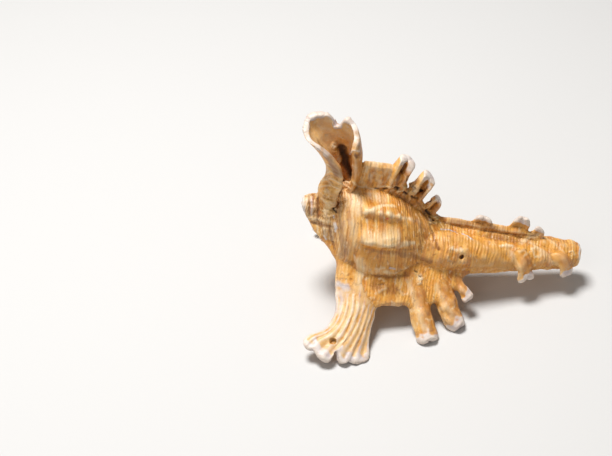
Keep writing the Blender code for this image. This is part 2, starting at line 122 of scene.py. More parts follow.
# Spines. left and right are their edges, as (x, r) from root to tip. Across, a spine is bent round to a
# groove: curl is how far its edges turn, in degrees, depth how deep the bend is and back how far its
# middle lies behind the varix, each at the root and at the tip. opens says how late the groove opens,
# and twist turns its root's opening sideways. A notch is (place across, depth, width). ribs holds the
# places across of the grooves that part a spine's ribs.
SPINES_B = (
    {"left": ((12.8, 14.0), (12.8, 21.0), (14.1, 28.0), (13.4, 32.6), (11.3, 36.2), (7.6, 38.2), (5.4, 40.6)),
     "right": ((29.5, 15.0), (28.2, 23.0), (26.9, 29.2), (26.1, 33.5), (25.9, 37.6),
               (26.2, 41.0), (26.0, 44.2)),
     "tip": ((6.0, 43.0), (10.0, 45.4), (14.0, 46.8), (17.0, 46.5), (20.8, 46.0)),
     "curl": (70.0, 58.0), "depth": (4.0, 4.0), "back": (0.6, 0.0), "wall": 2.1,
     "notches": ((0.14, 4.4, 0.11), (-0.40, 1.2, 0.08), (0.56, 1.0, 0.08)),
     "ribs": (-0.74, -0.52, -0.30, -0.08, 0.14, 0.33, 0.54, 0.76)},
    {"left": ((34.0, 18.0), (36.8, 26.0), (38.6, 30.9), (40.4, 34.9), (41.7, 36.1)),
     "right": ((42.6, 18.0), (43.6, 24.4), (45.5, 28.9), (46.8, 33.0), (46.4, 34.2)),
     "curl": (95.0, 85.0), "depth": (2.8, 2.8), "back": (1.2, 0.2), "wall": 1.9,
     "notches": ((0.0, 0.7, 0.25),), "ribs": (-0.42, 0.36)},
    {"left": ((42.6, 17.0), (45.8, 24.4), (47.7, 27.4), (50.4, 29.5), (51.6, 30.3)),
     "right": ((49.0, 13.0), (50.6, 17.7), (52.4, 21.4), (54.3, 25.4), (54.9, 27.8)),
     "curl": (95.0, 85.0), "depth": (2.8, 2.8), "back": (1.2, -0.6), "wall": 1.9,
     "notches": ((0.1, 0.8, 0.25),), "ribs": (-0.36, 0.44)},
    {"left": ((48.0, 13.0), (50.9, 18.0), (53.0, 20.4), (54.2, 21.1)),
     "right": ((50.6, 9.5), (52.2, 13.4), (54.2, 16.0), (56.4, 18.6)),
     "curl": (85.0, 75.0), "depth": (1.8, 1.5), "back": (1.0, 0.6), "wall": 1.7},
    {"left": ((65.5, 5.0), (68.6, 9.3), (70.0, 11.4), (71.0, 12.1)),
     "right": ((70.5, 2.5), (73.0, 5.4), (74.5, 7.8), (75.2, 10.0)),
     "curl": (85.0, 75.0), "depth": (1.8, 1.6), "back": (5.8, 1.2), "wall": 1.9,
     "notches": ((0.0, 0.8, 0.3),)},
    {"left": ((78.0, 3.0), (81.2, 5.6), (83.0, 7.4), (84.8, 8.2)),
     "right": ((83.0, 0.8), (86.0, 2.9), (87.6, 4.8), (87.4, 6.6)),
     "curl": (85.0, 75.0), "depth": (1.8, 1.6), "back": (5.2, 1.2), "wall": 1.9,
     "notches": ((0.2, 0.8, 0.3),)},
)
SPINES_A = (
    {"left": ((4.6, 4.0), (3.2, 10.0), (4.3, 15.5), (2.3, 21.2), (-2.0, 26.4), (-5.2, 29.2), (-6.2, 31.2)),
     "right": ((12.6, 5.0), (13.9, 12.0), (14.2, 18.0), (13.4, 24.6), (12.2, 28.4),
               (10.9, 31.7), (9.6, 33.8)),
     "tip": ((-5.2, 33.0), (-1.4, 34.0), (2.5, 34.4), (6.5, 35.0)),
     "curl": (158.0, 62.0), "opens": 5.0, "twist": -26.0, "depth": (4.0, 5.2), "back": (4.0, 2.6),
     "wall": 1.8, "notches": ((0.30, 4.4, 0.15),)},
    {"left": ((21.4, 11.0), (22.6, 19.0), (24.0, 24.2), (24.9, 25.8)),
     "right": ((27.0, 10.0), (28.7, 17.0), (29.4, 21.5), (29.7, 24.0)),
     "curl": (158.0, 100.0), "opens": 2.0, "depth": (1.7, 2.2), "back": (2.4, 2.0), "wall": 2.6},
    {"left": ((28.6, 9.0), (30.6, 16.0), (32.1, 20.3), (33.4, 21.8)),
     "right": ((34.0, 7.0), (35.8, 13.5), (36.6, 16.5), (37.2, 19.0)),
     "curl": (158.0, 100.0), "opens": 2.0, "depth": (1.6, 2.1), "back": (2.2, 1.9), "wall": 2.5},
    {"left": ((35.6, 6.0), (37.2, 11.0), (38.3, 13.1), (39.0, 13.9)),
     "right": ((39.6, 4.5), (41.0, 9.0), (41.4, 11.0), (41.1, 12.3)),
     "curl": (140.0, 110.0), "depth": (1.2, 1.6), "back": (1.6, 1.4), "wall": 1.8},
    {"left": ((50.6, 3.5), (52.8, 7.3), (54.0, 9.0)),
     "right": ((57.6, 3.5), (58.6, 7.0), (57.8, 8.8)),
     "curl": (90.0, 75.0), "depth": (1.6, 1.4), "back": (1.2, 0.8), "wall": 1.4},
    {"left": ((62.0, 3.5), (64.4, 8.4), (66.1, 11.5)),
     "right": ((69.6, 3.5), (71.0, 8.0), (69.7, 11.1)),
     "curl": (90.0, 75.0), "depth": (1.9, 1.7), "back": (1.4, 1.0), "wall": 1.4,
     "notches": ((0.0, 0.5, 0.3),)},
    {"left": ((70.2, 3.0), (71.9, 7.0), (72.9, 8.5)),
     "right": ((75.2, 2.5), (76.2, 6.0), (74.9, 8.0)),
     "curl": (90.0, 75.0), "depth": (1.4, 1.2), "back": (1.0, 0.8), "wall": 1.4},
)

# Webs between the spines, as the (x, r) of their free edge
WEB_B = (
    (1.2, 1.8), (5.2, 7.2), (10.4, 11.8), (12.7, 15.4), (14.4, 22.0), (20.0, 25.0), (27.0, 27.4),
    (30.5, 26.3), (35.2, 25.5), (38.0, 26.0), (43.8, 23.6), (46.0, 22.5), (50.6, 17.2), (52.2, 13.6),
    (55.0, 12.2), (60.4, 11.0), (66.0, 9.8), (70.0, 8.8), (76.0, 7.0), (82.0, 5.4), (88.5, 3.2),
)
WEB_A = (
    (2.0, 3.0), (3.8, 8.6), (7.0, 12.5), (12.6, 14.5), (14.4, 22.6), (19.2, 22.7), (22.4, 23.2), (26.0, 21.0),
    (30.0, 15.0), (34.0, 13.0), (38.0, 8.8), (42.5, 6.6), (47.0, 6.8), (57.0, 7.2), (70.0, 7.4), (76.0, 4.6),
)

# How far a web reaches behind and in front of its varix at the body, and how thick its edge is
WEB_BACK = 3.6
WEB_FRONT = 1.2
WEB_EDGE = 1.1

# Depth and width of those grooves, where a spine starts to follow the line of its tip, how much thinner
# its wall gets and how much it swells again just before the tip
RIB_GROOVE = 0.5
RIB_GROOVE_WIDE = 0.055
TIP_FROM = 0.45
TIP_THINNER = 0.1
TIP_BULB = 0.3

# The slit along the canal's underside
SLIT_PHI = 165.0
SLIT_WIDTH = 1.4
SLIT_START = 41.0
SLIT_END = 92.0
SLIT_FLOOR = 1.6
SLIT_TOP = 12.0

# How far the ground's cutter reaches, sideways and down
GROUND_SIDE = 200.0
GROUND_DEEP = 20.0

# How finely the mesh is made, in millimetres, and the number of triangles that it keeps
VOXEL = 0.3
TRIANGLES = 190000

# The photograph's camera, in millimetres and degrees
CAMERA_AT = (-42.153, -335.139, 309.27)
CAMERA_DOWN = 40.0
LENS = 85.0
SENSOR = 36.0
PHOTO_WIDE = 612
PHOTO_HIGH = 456

# How finely the threads lie, how high they stand and how far they wander, in millimetres
THREAD_GAP = 1.05
THREAD_HEIGHT = 0.055
THREAD_WANDER = 0.16

# The share of that height on the lip's large spines, on its others, on the webs and on all other spines
THREADS_ON = (0.25, 0.9, 0.65, 0.5)

# How many degrees back along the growth the whorl lies whose threads each varix's web carries on. On the
# upper varix they fan out from a middle, by this share for each millimetre beyond a distance.
WEB_THREADS_BACK = {"B": 0.0, "A": -120.0, "C": -260.0}
FAN_MIDDLE = 17.5
FAN = 0.05
FAN_BEYOND = 13.0

# Round holes that something bored, by where the photograph shows them, and their size in millimetres
BORE_HOLES = ((333.0, 341.0), (462.0, 257.0))
BORE_RADII = (1.12, 0.92)
BORE_DEEP = 1.15
BORE_SIDES = 24

# Below this height, in millimetres, the surface isn't moved, so that the shell still rests as it does
GROUND_KEPT = 0.4

# How unevenly a mark's edge runs
STROKE_UNEVEN = 0.3

# Where the varix and its spines meet the whorl, the corner is rounded over this many millimetres, by this
# share of the way to the neighbours' middle in each step. Tips and the hooked spines are rounded a little.
FILLET = 3.2
FILLET_STEPS = 45
FILLET_PULL = 0.6
TIP_SOFT = 0.12
HOOKED_SOFT = 0.15

# How far round a point its bend is measured, in edges of the mesh, and the bend, in millimetres, at which
# the material takes it for a full hollow or crown. Hollows are darkened brown as painted shade; the trumpet's
# inside takes only a share of that shade.
BEND_REACH = 9
BEND_FULL = 0.16
TRUMPET_HOLLOW_SHADE = 0.1

# Lumps that the surface and its colours vary by: size in millimetres and seed
ROUGH = (2.2, 3)
FINE = (0.9, 4)
BROAD = (7.0, 5)
CANAL_LUMPS = (3.2, 6)
ALL_LUMPS = (4.5, 7)
WANDER = (5.0, 8)
STROKE_SEED = 11

# Heights of the small relief, in millimetres, and how far in and out it may go
CANAL_RELIEF = 0.16
ALL_RELIEF = 0.10
TIP_RELIEF = 0.18
CREST_RELIEF = 0.12
SPIRE_RELIEF = 0.16
SPIRE_GRAIN = 0.05
RELIEF_LIMITS = (-1.2, 0.8)

# Where the parts of the surface lie along the axis, in millimetres
LAST_WHORL_FROM = 12.0
SPIRE_END = 13.0
STRIPES_END = 18.0
PLATE_END = 26.0
CANAL_FROM = 42.0
CANAL_THREADS_FROM = 44.0
SHORT_SPINES_END = 60.0

# The share of its length from which a spine is worn white: large spines of the lip, spines of the upper
# varix on the canal, its other spines, the lip's others; and the trumpet
WORN_FROM = (0.80, 0.55, 0.78)
WORN_FROM_ELSE = 0.62
WORN_TRUMPET = 0.90

# A point this near to the mouth's cutter, in millimetres, lies inside the mouth
INSIDE_NEAR = 0.35

# What the material is mixed from, each a share from 0 to 1 at every point. The dark, hole floor and hollow
# masks hold painted shade.
MASKS = ("white", "cream", "ochre", "brown", "dark", "crust", "stripes", "lines", "porcelain", "pink",
         "olive", "hollow", "crown")

# Marks seen in the photograph: what each is, its width in millimetres, its strength, its height in
# millimetres, and the line that it follows over the surface, as points of the photograph
MARKS = (
    # The top of the body whorl: amber and yellow bands from the ledge of the upper varix
    ("golden", 3.2, 0.8, 0.0, (372, 190), (376, 206)),
    ("golden", 2.6, 0.7, 0.0, (362, 194), (361, 204)),
    ("brown", 0.7, 0.55, 0.0, (360, 193), (362, 210), (361, 228), (363, 246)),
    ("brown", 0.6, 0.45, 0.0, (383, 193), (389, 206), (392, 220), (394, 239)),
    ("brown", 0.9, 0.5, 0.0, (394, 192), (400, 204), (405, 216), (409, 234), (410, 250)),
    ("brown", 2.2, 0.5, 0.0, (399, 196), (410, 212), (418, 232), (422, 250)),
    ("brown", 1.8, 0.5, 0.0, (405, 198), (416, 212), (425, 230), (431, 246)),
    ("cream", 1.3, 0.75, 0.15, (366, 213), (376, 208), (384, 205), (393, 206)),
    ("cream", 1.2, 0.7, 0.12, (383, 240), (392, 238), (398, 239)),
    ("cream", 1.2, 0.6, 0.12, (366, 244), (374, 242)),
    ("cream", 0.8, 0.6, 0.0, (367, 220), (368, 234)),
    ("cream", 0.7, 0.6, 0.0, (376, 220), (377, 233)),
    ("cream", 0.7, 0.5, 0.0, (385, 222), (386, 232)),
    ("cream", 0.8, 0.6, 0.0, (353, 200), (352, 226), (354, 246)),
    ("cream", 1.0, 0.6, 0.15, (376, 269), (384, 268)),
    ("white", 0.6, 0.8, 0.10, (390, 268), (395, 269)),
    # Brown lines under the ridges: painted shade below their crests
    ("brown", 1.1, 0.5, -0.08, (366, 249), (380, 250), (392, 248), (404, 250), (418, 249)),
    ("brown", 1.2, 0.6, -0.12, (374, 275), (392, 277), (408, 275)),
    ("cream", 4.0, 0.55, 0.0, (356, 194), (358, 212)),
    ("cream", 3.4, 0.5, 0.0, (370, 194), (384, 200)),
    ("cream", 4.6, 0.6, 0.0, (370, 240), (396, 236)),
    ("cream", 3.2, 0.5, 0.0, (352, 224), (355, 246)),
    ("brown", 3.0, 0.6, 0.0, (340, 204), (341, 226), (344, 250)),
    ("brown", 2.4, 0.65, 0.0, (342, 258), (352, 263)),
    # A broad brown band under the second ridge: painted shade
    ("brown", 2.0, 0.6, 0.0, (374, 251), (392, 252), (404, 254), (418, 257), (430, 262)),
    ("brown", 3.2, 0.55, 0.0, (404, 200), (414, 214), (422, 232), (428, 246)),
    ("pink", 0.45, 1.0, -0.2, (387, 219), (388, 219)),
    # The dark seam at the right of the body whorl, with its pits darkened as painted shade
    ("brown", 1.2, 0.65, -0.2, (418, 203), (425, 213), (430, 225), (434, 238), (439, 250)),
    ("dark", 1.0, 0.95, -0.9, (396, 188), (399, 189)),
    ("dark", 0.9, 0.9, -0.8, (404, 193), (406, 194)),
    ("dark", 1.0, 0.9, -0.8, (412, 197), (415, 198)),
    ("dark", 0.9, 0.9, -0.7, (419, 191), (421, 190)),
    ("dark", 1.1, 0.9, -0.8, (426, 201), (430, 200)),
    ("dark", 1.1, 0.9, -0.8, (427, 211), (430, 214)),
    ("crust", 1.0, 0.9, 0.25, (430, 217), (437, 218), (436, 223), (430, 222), (430, 217)),
    ("dark", 0.6, 0.9, -0.4, (433, 220), (434, 220)),
    ("dark", 1.2, 0.7, -0.4, (408, 178), (407, 186)),
    ("crust", 1.4, 0.95, 0.4, (404, 187), (409, 184), (415, 187), (414, 192), (408, 192)),
    ("crust", 0.8, 0.9, 0.3, (398, 192), (403, 190)),
    ("brown", 1.2, 0.8, -0.3, (422, 193), (427, 187)),
    # The pale scalloped ledge under the plate of the upper varix
    ("cream", 0.8, 0.7, 0.25, (353, 182), (358, 186), (366, 187), (374, 189), (382, 186), (390, 187),
     (396, 186)),
    # Its pits are darkened as painted shade
    ("dark", 0.5, 0.85, -0.3, (375, 188), (379, 188)),
    ("dark", 0.5, 0.8, -0.3, (383, 189), (387, 188)),
    ("brown", 0.6, 0.6, 0.0, (369, 181), (371, 161)),
    ("brown", 0.6, 0.7, 0.0, (383, 181), (383, 161)),
    ("brown", 0.5, 0.6, 0.0, (362, 178), (366, 164)),
    ("cream", 0.8, 0.5, 0.0, (376, 181), (377, 164)),
    ("cream", 1.0, 0.6, 0.0, (389, 178), (393, 160)),
    ("brown", 1.1, 0.8, -0.2, (397, 184), (400, 173), (405, 163)),
    ("ochre", 0.9, 0.8, 0.0, (420, 188), (425, 182), (430, 178)),
    ("brown", 0.8, 0.7, -0.2, (430, 209), (435, 204), (439, 201)),
    # The trumpet spine: white lip with lilac painted shade, brown outer wall, crust round its hollow, whose
    # dark is painted shade
    ("brown", 3.0, 0.9, 0.0, (328, 156), (332, 166), (338, 174)),
    ("brown", 1.8, 0.6, 0.0, (318, 142), (324, 150)),
    ("crust", 2.0, 0.8, 0.4, (334, 146), (337, 153), (340, 160)),
    ("golden", 1.6, 0.6, 0.2, (338, 140), (345, 141)),
    ("brown", 3.0, 0.75, 0.0, (340, 146), (344, 155), (346, 164), (349, 174)),
    ("dark", 2.0, 0.85, -0.9, (341, 148), (344, 156), (346, 165), (349, 176)),
    ("brown", 1.2, 0.8, -0.3, (355, 156), (357, 157)),
    ("white", 0.5, 0.7, 0.2, (350, 154), (353, 150), (359, 151)),
    ("white", 0.8, 0.4, 0.0, (357, 119), (358, 130), (353, 140)),
    ("white", 0.6, 0.4, 0.0, (352, 130), (350, 143), (350, 152)),
    ("brown", 2.2, 0.75, 0.0, (358, 134), (358, 142), (360, 152)),
    # Grey-beige folds below the trumpet
    ("cream", 0.6, 0.55, 0.2, (323, 174), (331, 171), (340, 176), (350, 184)),
    ("cream", 0.6, 0.55, 0.2, (321, 181), (331, 178), (341, 183), (350, 188)),
    ("cream", 0.6, 0.5, 0.2, (319, 187), (330, 185), (341, 189)),
    ("brown", 0.6, 0.5, -0.15, (322, 178), (331, 175), (341, 180), (350, 187)),
    ("brown", 0.6, 0.45, -0.15, (320, 184), (330, 182), (340, 186)),
    # The spire: white end, sharp brown lines, beaded ledge and its undercut, darkened as painted shade
    ("white", 1.9, 1.0, 0.1, (303.5, 198), (303, 204), (304, 211)),
    ("brown", 0.9, 0.75, -0.1, (309, 195), (309, 214)),
    ("brown", 0.7, 0.65, -0.1, (313, 194), (314, 217)),
    ("white", 0.8, 0.6, 0.0, (311.5, 196), (311.5, 215)),
    ("brown", 0.8, 0.85, -0.2, (318, 193), (318, 220)),
    ("crust", 4.2, 0.55, 0.5, (326, 193), (329, 202), (331, 211)),
    ("cream", 1.8, 0.6, 0.2, (323, 198), (330, 203), (326, 211)),
    ("ochre", 1.4, 0.7, 0.2, (333, 194), (334, 204)),
    ("dark", 0.8, 0.85, -0.4, (333, 208), (336, 212)),
    ("white", 0.6, 0.9, 0.2, (334, 216), (334, 218)),
    ("cream", 1.0, 0.5, 0.25, (307, 215), (314, 218), (322, 220), (331, 222)),
    ("brown", 0.9, 0.7, -0.25, (311, 222), (320, 225), (330, 227)),
    ("cream", 0.9, 0.6, 0.15, (317, 224), (318, 232)),
    ("cream", 0.9, 0.6, 0.15, (324, 226), (325, 236)),
    ("cream", 0.9, 0.6, 0.15, (332, 226), (333, 240)),
    ("brown", 1.1, 0.7, 0.0, (321, 223), (325, 238)),
    ("brown", 1.1, 0.7, 0.0, (329, 226), (334, 248)),
    ("white", 1.3, 0.8, 0.15, (335, 225), (336, 231)),
    ("white", 0.9, 0.7, 0.1, (324, 236), (326, 239)),
    ("brown", 1.8, 0.55, -0.1, (338, 226), (341, 246), (344, 262)),
    ("brown", 2.2, 0.6, 0.0, (342, 260), (347, 266)),
    # The large lip spine's pale root runs up over the whorl's edge
    ("golden", 3.4, 0.7, 0.3, (344, 262), (351, 272)),
    ("cream", 3.2, 0.65, 0.3, (359, 262), (361, 274), (360, 288)),
    # The porcelain foot of the large lip spine, below a straight edge
    ("brown", 0.35, 0.8, 0.0, (336, 278), (344, 279), (352, 279)),
    ("white", 2.2, 0.8, 0.1, (339, 284), (346, 287)),
    ("white", 1.8, 0.6, 0.0, (338, 292), (342, 300), (339, 312)),
    # The web between the lip spines: pale crescent scars and a pitted patch
    ("brown", 3.2, 0.52, 0.0, (374, 286), (386, 291), (398, 290)),
    ("cream", 0.7, 0.55, 0.15, (379, 279), (382, 278), (384, 281)),
    ("cream", 0.7, 0.55, 0.15, (379, 292), (383, 290), (386, 288)),
    ("cream", 0.7, 0.55, 0.15, (400, 291), (403, 295), (407, 294)),
    ("ochre", 1.0, 0.8, 0.0, (403, 290), (405, 290)),
    ("brown", 0.7, 0.7, -0.25, (379, 285), (383, 284)),
    ("crust", 1.9, 0.7, 0.1, (416, 273), (420, 279)),
    # Its pits are darkened as painted shade
    ("dark", 0.5, 0.7, -0.35, (415, 271), (417, 272)),
    ("dark", 0.4, 0.7, -0.35, (419, 276), (421, 277)),
    ("cream", 0.7, 0.6, 0.2, (418, 284), (421, 283)),
    ("cream", 2.2, 0.55, 0.0, (408, 282), (414, 300), (420, 318), (425, 330)),
    ("cream", 2.2, 0.5, 0.0, (436, 286), (444, 302), (452, 318)),
    # The canal: thin pale line, pale ridge, ring scars, crust by the bore hole
    ("white", 0.35, 0.9, 0.15, (441, 229), (450, 230), (456, 232)),
    ("white", 0.8, 0.9, 0.15, (463, 234), (467, 236), (471, 239)),
    ("crust", 1.8, 0.5, 0.12, (452, 248), (457, 251), (466, 250)),
    ("crust", 1.4, 0.5, 0.12, (448, 258), (451, 263)),
    # The canal is amber below and brown along the ledge of the upper varix
    ("ochre", 4.5, 0.8, 0.0, (478, 264), (495, 262), (510, 264)),
    ("ochre", 3.5, 0.7, 0.0, (455, 238), (480, 244), (500, 252)),
    ("brown", 2.6, 0.6, 0.0, (452, 221), (478, 225), (500, 229)),
    ("brown", 2.6, 0.55, 0.0, (488, 236), (508, 240), (520, 241)),
    # The two short spines of the canal start well up its side
    ("golden", 2.6, 0.5, 0.25, (506, 246), (513, 256), (519, 267)),
    ("cream", 2.0, 0.45, 0.0, (508, 248), (514, 258), (520, 270)),
    ("golden", 3.0, 0.5, 0.25, (526, 240), (540, 250), (552, 261)),
    ("cream", 2.2, 0.5, 0.0, (530, 243), (543, 253), (555, 264)),
    ("cream", 1.6, 0.6, 0.15, (521, 243), (530, 237), (540, 234)),
    ("cream", 1.0, 0.6, 0.25, (500, 246), (512, 246)),
    ("cream", 0.8, 0.6, 0.15, (532, 250), (536, 247), (540, 250), (540, 256), (535, 257), (532, 250)),
    ("cream", 0.8, 0.5, 0.12, (520, 252), (524, 250), (527, 253), (524, 256)),
    ("cream", 0.4, 0.7, 0.2, (569, 252), (573, 251), (575, 255)),
    ("cream", 1.0, 0.5, 0.0, (546, 238), (556, 245), (564, 252)),
    ("white", 0.7, 0.95, 0.1, (577, 240), (580, 248), (579, 260)),
    ("brown", 1.2, 0.6, 0.0, (497, 236), (510, 238)),
    ("brown", 1.2, 0.6, 0.0, (444, 222), (462, 225)),
    ("brown", 0.6, 0.7, -0.2, (484, 231), (496, 232), (520, 235), (536, 236)),
    # The floors of the bore holes, darkened olive and near black as painted shade
    ("olive", 1.9, 1.0, 0.0, (333, 341), (333.5, 341)),
    ("dark", 1.5, 1.0, 0.0, (462, 257), (462.5, 257)),
)

# Colours of the shell, as linear red, green and blue
AMBER = (0.56, 0.20, 0.025, 1.0)
GOLD = (0.74, 0.33, 0.05, 1.0)
SAND = (0.82, 0.43, 0.10, 1.0)
CREAM = (0.86, 0.60, 0.27, 1.0)
PALE = (0.80, 0.64, 0.42, 1.0)
OCHRE = (0.72, 0.40, 0.09, 1.0)
BROWN = (0.30, 0.10, 0.024, 1.0)
DEEP_BROWN = (0.13, 0.05, 0.015, 1.0)
# Painted shade: near black for the inside of pits, hollows and holes
PIT_SHADE = (0.045, 0.022, 0.010, 1.0)
WHITE = (0.76, 0.69, 0.65, 1.0)
# Painted shade: lilac, the shaded tone of the worn white
LILAC_SHADE = (0.55, 0.45, 0.44, 1.0)
SHELL_PINK = (0.80, 0.60, 0.52, 1.0)
STAIN = (0.70, 0.06, 0.08, 1.0)
# Painted shade: dark olive for the floor of a bore hole
OLIVE_SHADE = (0.17, 0.125, 0.045, 1.0)

# The shell's gloss: refractive index, how rough it is and how much lumps add, and the bump in millimetres
SHELL_IOR = 1.5
ROUGHNESS = 0.30
ROUGHNESS_LUMPS = 0.25
BUMP_HEIGHT = 0.45
BUMP_STRENGTH = 0.7

# The studio, in metres and watts: each light as name, place, size and power, and what both aim at
LIGHTS = (
    ("overhead", (-0.16, 0.06, 0.62), 0.22, 5.2),
    ("front", (-0.40, -0.60, 0.50), 0.5, 0.9),
)
LIGHT_AIM = (0.0, 0.0, 0.02)
WORLD_COLOUR = (1.0, 0.98, 0.96, 1.0)
WORLD_STRENGTH = 0.22
FLOOR_REACH = 2.0
FLOOR_COLOUR = (0.63, 0.62, 0.605, 1.0)
FLOOR_ROUGHNESS = 0.9
CLIP_END = 10.0

SLOPE = math.radians(AXIS_SLOPE)
AXIS = np.array((math.cos(SLOPE), 0.0, -math.sin(SLOPE)))
TOP = np.array((math.sin(SLOPE), 0.0, math.cos(SLOPE)))
NEAR = np.array((0.0, -1.0, 0.0))
APEX = np.array((-AXIS_MIDDLE * math.cos(SLOPE) - ORIGIN_SHIFT[0], -ORIGIN_SHIFT[1], AXIS_HEIGHT))


def place(x, r, phi, onward_by=0.0):
    """World positions in metres of points given in the shell's own numbers."""
    x, r, phi, onward_by = [a[..., None] for a in np.broadcast_arrays(x, r, np.radians(phi), onward_by)]
    out = np.cos(phi) * TOP + np.sin(phi) * NEAR
    onward = np.cos(phi) * NEAR - np.sin(phi) * TOP
    return (APEX + x * AXIS + r * out + onward_by * onward) * MM


def shell_numbers(points):
    """The x, r and phi of world positions."""
    from_apex = np.asarray(points) / MM - APEX
    up, near = from_apex @ TOP, from_apex @ NEAR
    return from_apex @ AXIS, np.hypot(up, near), np.degrees(np.arctan2(near, up)) % 360.0


def smooth_step(value):
    value = np.clip(value, 0.0, 1.0)
    return value * value * (3.0 - 2.0 * value)


def between(pair, part):
    """The value at this part of the way from the pair's first to its second."""
    return pair[0] + (pair[1] - pair[0]) * part


def curve(points, t):
    """Points at t, 0 to 1, of a smooth curve through the points."""
    points = np.asarray(points, float)
    last = len(points) - 1
    at = np.clip(np.asarray(t, float), 0.0, 1.0) * last
    i = np.minimum(at.astype(int), last - 1)
    f = (at - i)[..., None]
    a, b = points[np.maximum(i - 1, 0)], points[i]
    c, d = points[i + 1], points[np.minimum(i + 2, last)]
    square, cube = 2 * a - 5 * b + 4 * c - d, 3 * b - a - 3 * c + d
    return 0.5 * (2 * b + (c - a) * f + square * f * f + cube * f ** 3)


def ridge_height(phi, x):
    """How far a point of a whorl stands out on the low ridges, for the last whorl's size."""
    along = smooth_step((x - RIDGE_START) / RIDGE_FADE_IN) * smooth_step((RIDGE_END - x) / RIDGE_FADE_OUT)
    height = 0.0
    for centre, size in RIDGES:
        off = (phi - centre + 180.0) % 360.0 - 180.0
        width = np.where(off < 0, RIDGE_RISE, RIDGE_FALL)
        height = height + size * np.exp(-((off / width) ** 2))
    return height * along


def lean_offset(varix, r):
    """How far ahead of its half plane a varix stands at this distance from the axis; below 0 is behind."""
    part = np.clip((r - varix["root"]) / (varix["reach"] - varix["root"]), 0.0, 1.3)
    return -r * np.sin(np.radians(varix["lean"] * part))


class Forms:
    """Lofts collected into one mesh, with two numbers for each point: its place across the shell's
    threads and along them, in millimetres. side is 1 in front of a varix, -1 behind it and 0 elsewhere;
    u and v run across and along a spine."""

    def __init__(self):
        self.points, self.faces, self.facts, self.count = [], [], [], 0

    def add(self, kind, rows, across, along, side=0.0, u=0.0, v=0.0, strip_caps=False):
        rings, count = rows.shape[:2]
        index = self.count + np.arange(rings * count).reshape(rings, count)
        beside = np.roll(index, -1, axis=1)
        quads = np.stack([index[:-1], beside[:-1], beside[1:], index[1:]], axis=-1).reshape(-1, 4)
        self.faces.extend(quads.tolist())
        if strip_caps:
            half = count // 2
            for ring in (index[0], index[-1]):
                back = ring[::-1]
                self.faces.extend([ring[i], ring[i + 1], back[i + 1], back[i]] for i in range(half - 1))
        else:
            self.faces.append(index[0].tolist())
            self.faces.append(index[-1].tolist())
        self.points.append(rows.reshape(-1, 3))
        facts = [np.broadcast_to(fact, (rings, count)).reshape(-1) for fact in
                 (float(kind), across, along, side, u, v)]
        self.facts.append(np.stack(facts, axis=1))
        self.count += rings * count

    def mesh(self, name):
        data = bpy.data.meshes.new(name)
        data.from_pydata(np.concatenate(self.points).tolist(), [], [tuple(f) for f in self.faces])
        return data


# What a point of the mesh belongs to. The spines of a varix are numbered on from its first.
WHORL = 0
WEBS = {"A": 1, "B": 2, "C": 3}
SPINES = {"A": 10, "B": 20, "C": 30}


def add_whorls(forms, per_turn=120, outline_points=130, inner_points=12):
    """The coil: the outline of the last whorl, turned back round the axis and made smaller as it goes."""
    back = np.linspace(-TURNS * 360.0, 0.0, int(TURNS * per_turn) + 1)[:, None]
    size = GROWTH_PER_TURN ** (back / 360.0)
    phi = LIP_PHI + back
    outer = curve(WHORL_OUTLINE, np.linspace(0.0, 1.0, outline_points + 1))
    x, r = outer[None, :, 0], outer[None, :, 1]
    outside = place(size * x, size * (r + ridge_height(phi, x)), phi)
    inner_x = np.linspace(WHORL_OUTLINE[-1][0], WHORL_OUTLINE[0][0], inner_points)[None, :]
    inside = place(size * inner_x, size * CORE_RADIUS + 0 * inner_x, phi)
    length = np.concatenate([[0.0], np.cumsum(np.hypot(*np.diff(outer, axis=0).T))])[None, :]
    across = np.concatenate([np.broadcast_to(length, (len(back), length.shape[1])),
                             np.broadcast_to(length[:, -1:], (len(back), inner_points))], axis=1)
    along = np.broadcast_to(0.22 * back * size, across.shape)
    forms.add(WHORL, np.concatenate([outside, inside], axis=1), across, along)


def add_spindle(forms, stations=180, sides=72):
    """The solid core round the axis."""
    line = curve(SPINDLE_OUTLINE, np.linspace(0.0, 1.0, stations + 1))
    x, r = line[:, 0, None], line[:, 1, None]
    phi = np.arange(sides)[None, :] * 360.0 / sides
    forms.add(WHORL, place(x, r, phi), x + 0 * phi, np.radians(phi) * 5.0 + 0 * x)


def add_canal_side(forms, stations=120, sides=60):
    """The full, rounded side of the canal towards the lip's varix."""
    line = curve(CANAL_SIDE, np.linspace(0.0, 1.0, stations + 1))
    x, middle, radius = [line[:, column, None] for column in range(3)]
    turn = np.arange(sides)[None, :] * 2.0 * math.pi / sides
    rows = place(x, middle + radius * np.cos(turn), CANAL_SIDE_PHI, radius * np.sin(turn))
    forms.add(WHORL, rows, x + 0 * turn, turn * 5.0 + 0 * x)


def add_ball(forms, rings=24, sides=48):
    """The blunt round end of the spire."""
    turn = np.linspace(0.05, math.pi - 0.05, rings)[:, None]
    phi = np.arange(sides)[None, :] * 360.0 / sides
    x = APEX_BALL_AT - APEX_BALL * np.sign(np.cos(turn)) * np.abs(np.cos(turn)) ** BALL_BLUNT
    r = APEX_BALL * np.sin(turn) ** BALL_BLUNT
    rows = place(x, r, phi) + APEX_BALL_RAISED * TOP * MM
    forms.add(WHORL, rows, 2.0 * x + 0 * phi, np.radians(phi) * 3.0 + 0 * x)


